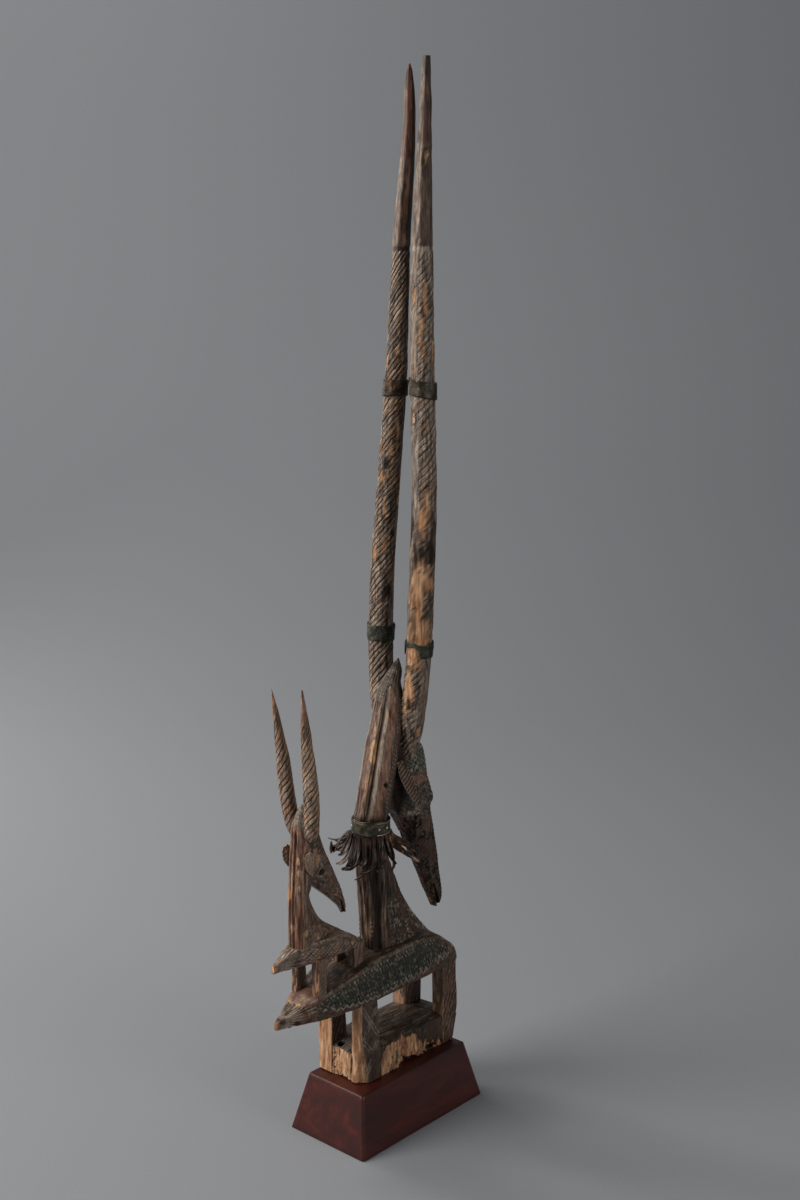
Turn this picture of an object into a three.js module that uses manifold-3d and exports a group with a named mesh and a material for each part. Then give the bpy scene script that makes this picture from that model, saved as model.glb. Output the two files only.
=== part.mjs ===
// A carved wooden antelope headdress of the upright kind: a mother antelope on a foot block, with a fawn
// standing on its rump, on a hardwood plinth. Lengths are millimetres. Both animals face along +X, +Z is up,
// and the origin is the middle of the plinth's underside.

import * as THREE from 'three';
import { mergeVertices } from 'three/addons/utils/BufferGeometryUtils.js';
import Module from 'manifold-3d';

const wasm = await Module();
wasm.setup();

// Driving dimensions
const clearance = 0.3; // between pieces that touch

const plinthLength = 180;
const plinthWidth = 100;
const plinthHeight = 59;
const plinthInset = 13.5; // how far each side leans in on the way up

const carvingShift = 6; // the carving stands a little to the left of the plinth's middle

const blockRear = -62.5;
const blockFront = 74;
const blockWidth = 60;
const blockTops = [[-66, 28.6], [-36, 31], [30, 31.6], [58, 30], [84, 24]]; // heights of its upper edges along X
const blockDome = 3.4; // rise of the block's top along the middle
const tieHoleRadius = 3.1;
const tieHolePlace = [-55, 6];

const bandThickness = 0.9; // the metal strips on the horns
const bandHeight = 15;

const collarHeight = 12.5;
const collarBottom = 245.5; // above the foot of the carving
const collarThickness = 0.8;
const strapThickness = 1;
const strapHeight = 18.5;
const strapBelow = 5; // how far the strap shows under the collar
const neckAtCollar = 16.6; // radius of the neck under the strap

const tongueCount = 20; // the fringe's narrow tongues
const tongueWidth = 4.6;
const tongueThickness = 1.3;
const tongueLength = 44;
const tongueSwing = 31; // how far the longest swings out
const frontTongueLength = 26; // where the neck's blade and the head leave little room
const frontTongueSwing = 4;
const tongueSway = 26; // degrees round the neck

const nailHead = 1.7;
const nailShank = 0.6;
const nailDepth = 6;
const nailTurns = [78, 148, 247, 277]; // degrees round the neck

// Each animal is given in the carving's own frame, with z = 0 at the foot of the block.
const mother = {
  belly: 82.7,
  halves: [[-149.5, 2], [-134, 9], [-124, 13.5], [-113, 19], [-90, 25.5], [-66, 30], [-42, 31.5]],
  shoulder: 58, // the body rounds off before this
  chest: 96,
  back: [[-149.5, 89.5], [-121, 101], [-75, 115.5], [-30, 124], [35, 125.5], [58, 118], [78, 103], [96, 86]],
  legs: [
    { x: [-62.3, -38], taper: -7, y: [11.7, 29.7] },
    { x: [-62.3, -34], taper: -12, y: [-29.7, -15] },
    { x: [46, 71], taper: 0, y: [11.7, 29.7] },
    { x: [58, 82], taper: -4, y: [-29.7, -14] },
  ],
  ground: 20,
  // neck rows: height, middle, radius, depth of the flutes, and low down the front of the blade and its flare
  neck: [
    [94, -9, 15.5, 1, 86, 8], [110, -9.4, 16, 1.6, 72, 9], [122, -10, 16.4, 2, 61, 9], [137, -10.8, 16.6, 2, 48, 4],
    [152, -11.7, 16.8, 2, 37, 1.6], [171, -12.9, 17, 2, 25, 0.4], [202, -15.3, 17.4, 2, 11, 0],
    [228, -16.8, 17, 1.6, 1.4, 0], [240, -17.3, 16.6, 0.8], [260, -17.3, 16.6, 0.8], [264.5, -16, 17.2, 1.6],
    [285, -11.4, 17.6, 2.2], [314, -4.2, 17.5, 2.2], [333, -0.2, 17, 2.2], [347, 3.6, 16.2, 2],
    [360, 6.6, 15.2, 1.7], [376, 10, 13.8, 0.4],
  ],
  peak: [411.5, 22.7],
  // head rows: height, rear, widest place, front, half widths at the three
  head: [
    [330, 4, 20, 33, 13, 17, 9], [322, 2, 24, 44, 14, 21.5, 12], [310, 2, 26, 47.5, 14, 21.5, 14],
    [285, 2, 28, 53, 13, 19.5, 14.5], [260.5, 9, 34, 60, 9, 16.5, 13.5], [255, 14, 36, 58.6, 8, 15.5, 12.5],
    [240, 23.5, 42, 62, 6.5, 13.5, 11.8], [202, 42.5, 57, 71.5, 4.5, 10, 9.4], [166, 60.5, 69, 79.8, 3.4, 7.2, 7.2],
    [148, 69.5, 76, 83.6, 3, 6, 6], [138.5, 74.6, 77.5, 80.6, 2.4, 4.4, 4.4],
  ],
  mouth: { from: [80.8, 136], to: [69, 166], gap: 1.3, width: 20 },
  ear: { root: [8, 14, 314], tip: [25, 27, 264], width: 15, thickness: 4.5 },
  hornSink: 18, // how far the horns are rooted below the top of the head
  hornLength: 661.5,
  hornLine: [
    [0, 22, 13.5], [0.055, 21.9, 17.8], [0.13, 23.4, 23.6], [0.26, 27.2, 25.7], [0.41, 34, 22.7],
    [0.56, 38, 16.8], [0.74, 41.2, 13.2], [0.92, 48.8, 9.7], [1, 49.6, 10.6],
  ],
  // horn girths: share of the length, radius
  hornGirths: {
    left: [[0, 6.4], [0.035, 11], [0.06, 12.6], [0.27, 12.2], [0.41, 11.3], [0.54, 11], [0.74, 8.6],
      [0.745, 8.3], [0.86, 6.7], [0.865, 6.3], [0.92, 5.4], [0.96, 4.1], [0.987, 0.8]],
    right: [[0, 6.4], [0.035, 11], [0.06, 12.7], [0.27, 12.5], [0.41, 12.2], [0.54, 11.9], [0.74, 10.6],
      [0.745, 10], [0.88, 7], [0.885, 6.4], [0.94, 5.6], [0.98, 4.2], [1, 3.4]],
  },
  grooves: { to: 0.74, ridges: 6, lead: 86, depth: 1.2 },
};

const fawn = {
  belly: 140.6,
  halves: [[-152, 1.8], [-135, 7.2], [-126, 10], [-112, 14], [-100, 17], [-85, 19]],
  shoulder: -66,
  chest: -40.5,
  back: [[-152, 147.5], [-135, 156], [-112, 161], [-80, 161], [-66, 156], [-52, 149], [-40.5, 139]],
  legs: [
    { x: [-112.5, -98], taper: -3, y: [8, 16.8] },
    { x: [-110, -98.5], taper: 0, y: [-18.6, -8.2] },
    { x: [-60, -47], taper: 0, y: [6.5, 15.5] },
    { x: [-58, -45], taper: 0, y: [-15.5, -6.5] },
  ],
  ground: 96,
  neck: [
    [144, -116.2, 10, 0.6, -47, 3], [153, -116.4, 10.8, 1, -57, 4.6], [161, -116.5, 11, 1.2, -68, 4],
    [173, -116.6, 11, 1.2, -86, 1], [187, -116.6, 11, 1.2, -97, 0.4], [205, -116.3, 11, 1.2, -104, 0],
    [216, -115.6, 11, 1.2], [232, -114.6, 11, 1.2], [264, -112.6, 10.4, 1.2], [276, -112.6, 9, 0.3],
  ],
  peak: [296, -111],
  head: [
    [279, -117, -108, -103, 9, 12, 8], [270, -118, -106, -99.5, 9.5, 13, 9.5], [250, -117, -102, -91.5, 9, 12.5, 10],
    [224, -112, -94, -77.5, 7, 10.5, 8.4], [210, -97, -82, -69.8, 5, 9, 7.4], [190, -73.5, -67, -61.2, 3.6, 6, 5.6],
    [180, -63.5, -60.5, -57.6, 3, 4.4, 4.2], [173, -60, -58.5, -56.6, 2.4, 3, 3],
  ],
  mouth: { from: [-57.6, 171], to: [-66, 190], gap: 0.9, width: 14 },
  ear: { root: [-114, 10.5, 254], tip: [-111, 20.5, 228], width: 12, thickness: 4 },
  hornSink: 17,
  hornLength: 151.5,
  hornLine: [
    [0, -109.6, 10.6], [0.09, -111.4, 12.9], [0.22, -114, 15.1], [0.32, -115.7, 16.3], [0.45, -117.7, 16.8],
    [0.72, -123.2, 18.2], [1, -129.6, 20.6],
  ],
  hornGirths: {
    left: [[0, 4.4], [0.06, 7.4], [0.32, 7.7], [0.45, 7.1], [0.6, 5.8], [0.72, 4.2], [0.84, 2.4], [0.957, 0.6]],
    right: [[0, 4.4], [0.06, 7.4], [0.32, 7.8], [0.45, 7.1], [0.6, 6.1], [0.72, 5], [0.85, 3.1], [1, 0.9]],
  },
  grooves: { to: 0.72, ridges: 4, lead: 46, depth: 0.9 },
};

// Each band's middle, as a share of the horn's length.
const bands = [
  { name: 'horn_band_left_upper', side: 1, up: 0.5435 },
  { name: 'horn_band_right_upper', side: -1, up: 0.545 },
  { name: 'horn_band_left_lower', side: 1, up: 0.1844 },
  { name: 'horn_band_right_lower', side: -1, up: 0.1701, torn: true },
];

const woodDark = new THREE.MeshStandardMaterial({ color: 0x3b2c22, roughness: 0.7, metalness: 0 });
const rosewood = new THREE.MeshStandardMaterial({ color: 0x3a1715, roughness: 0.35, metalness: 0 });
const metalDark = new THREE.MeshStandardMaterial({ color: 0x23241f, roughness: 0.5, metalness: 0.8 });
const leather = new THREE.MeshStandardMaterial({ color: 0x241812, roughness: 0.6, metalness: 0 });
const nailMetal = new THREE.MeshStandardMaterial({ color: 0x8a857a, roughness: 0.4, metalness: 0.9 });

const radians = THREE.MathUtils.degToRad;

// Solids
function solid(geometry) {
  geometry.deleteAttribute('normal');
  geometry.deleteAttribute('uv');
  const merged = mergeVertices(geometry, 1e-4);
  return new wasm.Manifold(new wasm.Mesh({
    numProp: 3,
    vertProperties: merged.getAttribute('position').array,
    triVerts: new Uint32Array(merged.index.array),
  }));
}

function mesh(name, manifold, material) {
  const { vertProperties, triVerts } = manifold.getMesh();
  const geometry = new THREE.BufferGeometry();
  geometry.setAttribute('position', new THREE.BufferAttribute(vertProperties, 3));
  geometry.setIndex(new THREE.BufferAttribute(triVerts, 1));
  geometry.computeVertexNormals();
  const made = new THREE.Mesh(geometry, material);
  made.name = name;
  return made;
}

// A closed solid through a row of sections: a cylinder grid whose rows move to the sections. Corners run
// counterclockwise as seen from the last section.
function loft(sections) {
  const rows = sections.length - 1;
  const corners = sections[0].length;
  const grid = new THREE.CylinderGeometry(1, 1, rows, corners, rows);
  const at = grid.getAttribute('position');
  for (let i = 0; i < at.count; i += 1) {
    const section = sections[Math.round(at.getY(i) + rows / 2)];
    const turn = Math.round((Math.atan2(at.getX(i), at.getZ(i)) / (2 * Math.PI)) * corners);
    const onAxis = Math.hypot(at.getX(i), at.getZ(i)) < 0.5;
    const point = onAxis ? middleOf(section) : section[(turn + corners) % corners];
    at.setXYZ(i, point.x, point.y, point.z);
  }
  return solid(grid);
}

function middleOf(section) {
  const sum = section.reduce((total, point) => total.add(point), new THREE.Vector3());
  return sum.divideScalar(section.length);
}

// The value at x of a line through [x, value] points.
function along(points, x, column = 1) {
  const next = points.findIndex((point) => point[0] >= x);
  if (next === 0) return points[0][column];
  if (next === -1) return points[points.length - 1][column];
  const [before, after] = [points[next - 1], points[next]];
  return THREE.MathUtils.mapLinear(x, before[0], after[0], before[column], after[column]);
}

function steps(from, to, count) {
  return Array.from({ length: count + 1 }, (_, i) => from + ((to - from) * i) / count);
}

// Bodies
function bodyHalf(animal, x) {
  const share = THREE.MathUtils.clamp((x - animal.shoulder) / (animal.chest - animal.shoulder), 0, 1);
  return along(animal.halves, x) * Math.max(0.22, (1 - share ** 2.4) ** (1 / 2.4));
}

// A boat: flat belly, bulging flanks, a ridge along each side of the back.
function body(animal) {
  const stations = [
    ...animal.halves.map(([x]) => x), (animal.halves.at(-1)[0] + animal.shoulder) / 2,
    ...[0, 0.3, 0.52, 0.7, 0.84, 0.94, 1].map((share) => THREE.MathUtils.lerp(animal.shoulder, animal.chest, share)),
  ];
  const flank = [[0.95, 0], [1, 0.25], [0.96, 0.62], [0.84, 1]];
  return loft(stations.map((x) => {
    const half = bodyHalf(animal, x);
    const top = along(animal.back, x);
    const rise = top - animal.belly;
    const left = flank.map(([out, up]) => new THREE.Vector3(x, half * out, animal.belly + rise * up));
    const right = left.map((point) => new THREE.Vector3(x, -point.y, point.z)).reverse();
    const crown = new THREE.Vector3(x, 0, top + half * 0.05);
    return [...left, crown, ...right];
  }));
}

// Plank-like legs, each from below the ground into the belly, its front edge drawn in by the taper.
function legs(animal) {
  return animal.legs.map(({ x: [rear, front], taper, y: [right, left] }) => {
    const level = (z, draw) => [
      new THREE.Vector3(front + draw, right, z), new THREE.Vector3(front + draw, left, z),
      new THREE.Vector3(rear, left, z), new THREE.Vector3(rear, right, z),
    ];
    return loft([level(animal.ground, 0), level(animal.belly + 4, taper)]);
  });
}

// Necks and crests
const ridgeTurns = [93, 121, 180, 239, 267];
const fluteTurns = [107, 150, 210, 253];
const frontTurns = [0, 35, 70, 290, 325];
const neckTurns = [...frontTurns, ...ridgeTurns, ...fluteTurns].sort((a, b) => a - b);

// Round behind, and in front either round as well or drawn out into a blade with flat, flaring sides.
function neckSection(z, middle, radius, flute, blade, flare) {
  return neckTurns.map((turn) => {
    const reach = fluteTurns.includes(turn) ? radius - flute : radius;
    const point = new THREE.Vector3(
      middle + reach * Math.cos(radians(turn)), reach * Math.sin(radians(turn)), z);
    const over = 1 - Math.min(turn, 360 - turn) / 90;
    if (blade === undefined || over < 0) return point;
    point.x = THREE.MathUtils.lerp(middle, blade, over);
    point.y = Math.sign(point.y) * (over === 1 ? 0 : radius * (1 - over * 0.9) + flare * Math.sin(over * Math.PI));
    return point;
  });
}

// The column rises with the animal's flutes and ends in a pointed, sloping cap.
function neck(animal) {
  const rows = animal.neck.map((row) => neckSection(...row));
  const [lastHeight, lastMiddle, lastRadius] = animal.neck[animal.neck.length - 1];
  const [peakHeight, peakMiddle] = animal.peak;
  const cap = [[0.35, 0.12, 0.74], [0.68, 0.62, 0.5], [1, 1, 0.03]].map(([up, over, share]) => neckSection(
    THREE.MathUtils.lerp(lastHeight, peakHeight, up), THREE.MathUtils.lerp(lastMiddle, peakMiddle, over),
    lastRadius * share, 0));
  return loft([...rows, ...cap]);
}

// Heads
function head(animal) {
  const rows = animal.head.map(([z, rear, wide, front, rearHalf, wideHalf, frontHalf]) => [
    new THREE.Vector3(front + 1.2, 0, z),
    new THREE.Vector3(front, frontHalf, z),
    new THREE.Vector3(wide, wideHalf, z),
    new THREE.Vector3(rear, rearHalf, z),
    new THREE.Vector3(rear, -rearHalf, z),
    new THREE.Vector3(wide, -wideHalf, z),
    new THREE.Vector3(front, -frontHalf, z),
  ]);
  return loft(rows.reverse()).subtract(mouth(animal));
}

function mouth({ mouth: { from, to, gap, width } }) {
  const slit = new THREE.Vector2(to[0] - from[0], to[1] - from[1]);
  const across = new THREE.Vector2(-slit.y, slit.x).setLength(gap);
  const outline = [
    new THREE.Vector2(from[0] - across.x, from[1] - across.y).addScaledVector(slit, -0.2),
    new THREE.Vector2(from[0] + across.x, from[1] + across.y).addScaledVector(slit, -0.2),
    new THREE.Vector2(to[0], to[1]),
  ];
  const wedge = new THREE.ExtrudeGeometry(new THREE.Shape(outline), { depth: width, bevelEnabled: false });
  wedge.rotateX(Math.PI / 2).translate(0, width / 2, 0);
  return solid(wedge);
}

// A leaf that hangs from the side of the head.
function ear({ ear: { root, tip, width, thickness } }, side) {
  const from = new THREE.Vector3(root[0], side * root[1], root[2]);
  const to = new THREE.Vector3(tip[0], side * tip[1], tip[2]);
  const run = to.clone().sub(from).normalize();
  const flat = new THREE.Vector3(1, 0, 0).addScaledVector(run, -run.x).normalize();
  const out = new THREE.Vector3().crossVectors(run, flat);
  const shares = [[0, 0.45], [0.18, 0.9], [0.45, 1], [0.8, 0.55], [1, 0.06]];
  return loft(shares.map(([down, spread]) => {
    const middle = from.clone().lerp(to, down);
    const across = flat.clone().multiplyScalar((width / 2) * spread);
    const through = out.clone().multiplyScalar((thickness / 2) * (0.3 + 0.7 * spread));
    return [
      middle.clone().add(across), middle.clone().add(through),
      middle.clone().sub(across), middle.clone().sub(through),
    ];
  }));
}

// Horns
const hornBase = (animal) => animal.head[0][0] - animal.hornSink;
const hornHeight = (animal, share) => hornBase(animal) + share * animal.hornLength;
const hornShare = (animal, z) => (z - hornBase(animal)) / animal.hornLength;

function hornMiddle(animal, side, z) {
  const share = hornShare(animal, z);
  const curve = new THREE.SplineCurve(animal.hornLine.map(([, x, out]) => new THREE.Vector2(x, out)));
  const place = along(animal.hornLine.map(([at], i) => [at, i / (animal.hornLine.length - 1)]), share);
  const { x, y } = curve.getPoint(THREE.MathUtils.clamp(place, 0, 1));
  return new THREE.Vector3(x, side * y, z);
}

function hornRadius(animal, side, z) {
  return along(side > 0 ? animal.hornGirths.left : animal.hornGirths.right, hornShare(animal, z));
}

// Corners round a level circle; the reach of each comes from its number.
function ring(middle, corners, reach) {
  return steps(0, 360, corners).slice(0, corners).map((angle, corner) => new THREE.Vector3(
    middle.x + reach(corner) * Math.cos(radians(angle)), middle.y + reach(corner) * Math.sin(radians(angle)),
    middle.z));
}

// Ridges and grooves climb one corner to the left with each row, as spirals, up to a smooth, tapering end.
function horn(animal, side) {
  const { to, ridges, lead, depth } = animal.grooves;
  const girths = side > 0 ? animal.hornGirths.left : animal.hornGirths.right;
  const corners = ridges * 2;
  const rows = Math.round((to * animal.hornLength * corners) / lead);
  const carvedRows = steps(hornHeight(animal, 0), hornHeight(animal, to), rows);
  const smoothRows = girths.map(([share]) => hornHeight(animal, share)).filter((z) => z > carvedRows[rows] + 1);
  return loft([...carvedRows, ...smoothRows].map((z, row) => {
    const radius = hornRadius(animal, side, z);
    const wave = row <= rows ? depth / 2 : 0;
    return ring(hornMiddle(animal, side, z), corners, (corner) => (
      radius + ((corner - row) % 2 === 0 ? wave : -wave)));
  }));
}

function antelope(animal) {
  return [
    body(animal), ...legs(animal), neck(animal), head(animal),
    ear(animal, 1), ear(animal, -1), horn(animal, 1), horn(animal, -1),
  ];
}

// The foot block, worn ragged at the back and along its lower right side.
function block() {
  const half = blockWidth / 2;
  const worn = [
    [0, half], [1.6, half * 0.7], [0, half * 0.42], [2.4, half * 0.06], [1, -half * 0.3], [4.2, -half * 0.62],
    [7, -half * 0.86], [13, -half],
  ];
  const broken = [[45, 1], [54, 0.6], [62, 6], [72, 2], [84, 0]];
  const level = (z, lean, bite) => [
    [blockFront + lean, -half], [blockFront + lean + 3, -half * 0.4], [blockFront + lean + 2, half * 0.4],
    [blockFront + lean - 2, half * 0.8], [blockFront + lean - 8, half],
    ...worn.map(([x, y]) => [blockRear + x, y]),
    ...broken.map(([x, loss]) => [blockRear + x, -half + loss + bite]),
    [blockRear + 98 + lean, -half + 2.2],
  ].map(([x, y]) => new THREE.Vector3(x, y, z));
  const sides = loft([level(0, 0, 0), level(14, 3, 1.5), level(24, 5, 1), level(40, 6, 0)]);
  const top = loft(blockTops.map(([x, edge]) => (
    [[1.1, -1], [1.1, edge], [0.5, edge + blockDome], [-0.5, edge + blockDome], [-1.1, edge], [-1.1, -1]]
      .map(([out, z]) => new THREE.Vector3(x, half * out, z)))));
  const hole = new THREE.CylinderGeometry(tieHoleRadius, tieHoleRadius, 100, 12);
  hole.rotateX(Math.PI / 2).translate(...tieHolePlace, 0);
  return sides.intersect(top).subtract(solid(hole));
}

// The pieces round the neck
function neckTube(from, to, inner, outer) {
  const wall = (radius) => [from, to].map((z) => {
    const corners = 20;
    return ring(new THREE.Vector3(along(mother.neck, z), 0, z), corners,
      () => radius / Math.cos(Math.PI / corners));
  });
  const hollow = wall(inner);
  hollow[0].forEach((point) => { point.z -= 1; });
  hollow[1].forEach((point) => { point.z += 1; });
  return loft(wall(outer)).subtract(loft(hollow));
}

const strapInner = neckAtCollar + clearance;
const collarInner = strapInner + strapThickness + clearance;
const collarOuter = collarInner + collarThickness;

// A repeatable share between 0 and 1 for each number.
function scatter(n) {
  const value = Math.sin(n * 12.9898) * 43758.5453;
  return value - Math.floor(value);
}

// One narrow tongue of the fringe: it leaves the strap downwards and swings out, most of all at the sides.
function tongue(index) {
  const turn = 15 + (index * 360) / tongueCount;
  const front = Math.cos(radians(turn)) > 0.75;
  const swing = 0.2 + 0.8 * scatter(index) * Math.sin(radians(turn)) ** 2;
  const reach = front ? frontTongueSwing : tongueSwing * swing;
  const drop = front ? frontTongueLength : tongueLength * (1 + 0.1 * scatter(index + 40)) - reach * 0.8;
  const sway = (scatter(index + 80) - 0.5) * tongueSway;
  const start = collarBottom - clearance - tongueThickness;
  const middle = along(mother.neck, start);
  const inner = strapInner + strapThickness * 0.5;
  return loft(steps(0, 1, 3).map((t) => {
    const out = inner + tongueThickness * 0.5 + 0.6 * t + reach * t ** 1.6;
    const z = start - drop * (t - 0.28 * t ** 3);
    const angle = radians(turn + sway * t * t);
    const away = new THREE.Vector3(Math.cos(angle), Math.sin(angle), 0);
    const across = new THREE.Vector3(-away.y, away.x, 0);
    const slope = Math.atan2(reach * 1.6 * t ** 0.6, drop * (1 - 0.84 * t * t));
    const face = away.clone().multiplyScalar(Math.cos(slope)).add(new THREE.Vector3(0, 0, Math.sin(slope)));
    const centre = new THREE.Vector3(middle, 0, z).addScaledVector(away, out);
    const half = (tongueWidth / 2) * (1 - 0.45 * t);
    const thin = tongueThickness / 2;
    return [[half, thin], [-half, thin], [-half, -thin], [half, -thin]].map(([side, through]) => (
      centre.clone().addScaledVector(across, side).addScaledVector(face, through)));
  }));
}

function fringe() {
  const low = collarBottom - strapBelow;
  const strap = neckTube(low, low + strapHeight, strapInner, strapInner + strapThickness);
  return steps(0, tongueCount - 1, tongueCount - 1).reduce((whole, i) => whole.add(tongue(Math.round(i))), strap);
}

// A nail's place: its head lies on the collar and its shank runs towards the neck's middle.
function placed(geometry, turn) {
  const z = collarBottom + collarHeight * 0.5;
  return geometry.rotateZ(-Math.PI / 2).rotateZ(radians(turn)).translate(
    along(mother.neck, z) + collarOuter * Math.cos(radians(turn)), collarOuter * Math.sin(radians(turn)), z);
}

function nail(turn) {
  const profile = [
    [0, -nailDepth], [nailShank, -nailDepth], [nailShank, clearance], [nailHead, clearance],
    [nailHead * 0.7, nailHead * 0.55 + clearance], [0, nailHead * 0.7 + clearance],
  ];
  return solid(placed(new THREE.LatheGeometry(profile.map(([r, y]) => new THREE.Vector2(r, y)), 6), turn));
}

function nailHole(turn) {
  const radius = nailShank + clearance;
  const length = nailDepth + clearance + 2;
  return solid(placed(new THREE.CylinderGeometry(radius, radius, length, 6).translate(0, 2 - length / 2, 0), turn));
}

// A thin strip bent round a horn.
function hornBand({ side, up, torn }) {
  const height = hornHeight(mother, up);
  const corners = 16;
  const half = bandHeight / 2;
  const wall = (extra, over) => [height - half - over, height + half + over].map((z) => ring(
    hornMiddle(mother, side, z), corners,
    () => (hornRadius(mother, side, z) + mother.grooves.depth / 2 + extra) / Math.cos(Math.PI / corners)));
  const whole = loft(wall(clearance + bandThickness, 0)).subtract(loft(wall(clearance, 1)));
  return torn ? whole.subtract(tear(hornMiddle(mother, side, height))) : whole;
}

// What is lost of the torn strip, at the left of the horn as the tail sees it.
function tear(middle) {
  const ragged = [[-2, -20], [-7, -9], [-4, -3], [-9, 0], [-5, 4], [-3, 9], [-6, 20], [-60, 20], [-60, -20]];
  const lost = new THREE.ExtrudeGeometry(
    new THREE.Shape(ragged.map(([x, z]) => new THREE.Vector2(x, z))), { depth: 60, bevelEnabled: false });
  lost.rotateX(Math.PI / 2).translate(0, 42, 0).rotateZ(radians(-48)).translate(middle.x, middle.y, middle.z);
  return solid(lost);
}

function plinth() {
  const level = (z, inset) => {
    const [x, y] = [plinthLength / 2 - inset, plinthWidth / 2 - inset];
    return [[x, -y], [x, y], [-x, y], [-x, -y]].map(([a, b]) => new THREE.Vector3(a, b, z));
  };
  return loft([level(0, 0), level(plinthHeight, plinthInset)]);
}

// The headdress
const drilled = (whole) => nailTurns.reduce((left, turn) => left.subtract(nailHole(turn)), whole);
const carved = [...antelope(mother), ...antelope(fawn)].reduce((whole, piece) => whole.add(piece), block());
const collar = neckTube(collarBottom, collarBottom + collarHeight, collarInner, collarOuter);

const headdress = new THREE.Group();
headdress.position.set(0, carvingShift, plinthHeight + clearance);
headdress.add(
  mesh('carving', drilled(carved), woodDark),
  mesh('neck_collar', drilled(collar), metalDark),
  mesh('leather_fringe', drilled(fringe()), leather),
  ...bands.map((band) => mesh(band.name, hornBand(band), metalDark)),
  ...nailTurns.map((turn, i) => mesh(`collar_nail_${i + 1}`, nail(turn), nailMetal)),
);

const object = new THREE.Group();
object.add(mesh('plinth', plinth(), rosewood), headdress);

export default object;
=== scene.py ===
"""Looks of the carved antelope headdress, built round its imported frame.

Lengths are millimetres, in the frame's own axes, until a mesh is made. Both animals face along +X, their left at +Y.
"""

import math

import bpy
import numpy as np
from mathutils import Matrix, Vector


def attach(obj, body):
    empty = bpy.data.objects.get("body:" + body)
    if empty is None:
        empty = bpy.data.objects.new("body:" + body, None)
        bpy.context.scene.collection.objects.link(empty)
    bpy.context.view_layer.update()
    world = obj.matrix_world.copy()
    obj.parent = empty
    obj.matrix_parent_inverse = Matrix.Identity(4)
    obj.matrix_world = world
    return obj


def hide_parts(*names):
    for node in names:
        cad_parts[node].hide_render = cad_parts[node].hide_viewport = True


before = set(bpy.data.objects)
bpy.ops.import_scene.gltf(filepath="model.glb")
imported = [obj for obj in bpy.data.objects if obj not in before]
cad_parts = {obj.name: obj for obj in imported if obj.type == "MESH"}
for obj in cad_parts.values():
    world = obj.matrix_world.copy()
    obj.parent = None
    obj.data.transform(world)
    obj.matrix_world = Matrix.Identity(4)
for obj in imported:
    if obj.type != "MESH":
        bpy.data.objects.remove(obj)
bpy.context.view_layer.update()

MM = 0.001
FOOT = np.array([0.0, 6.0, 59.3])  # the foot of the carving, on the plinth

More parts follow.
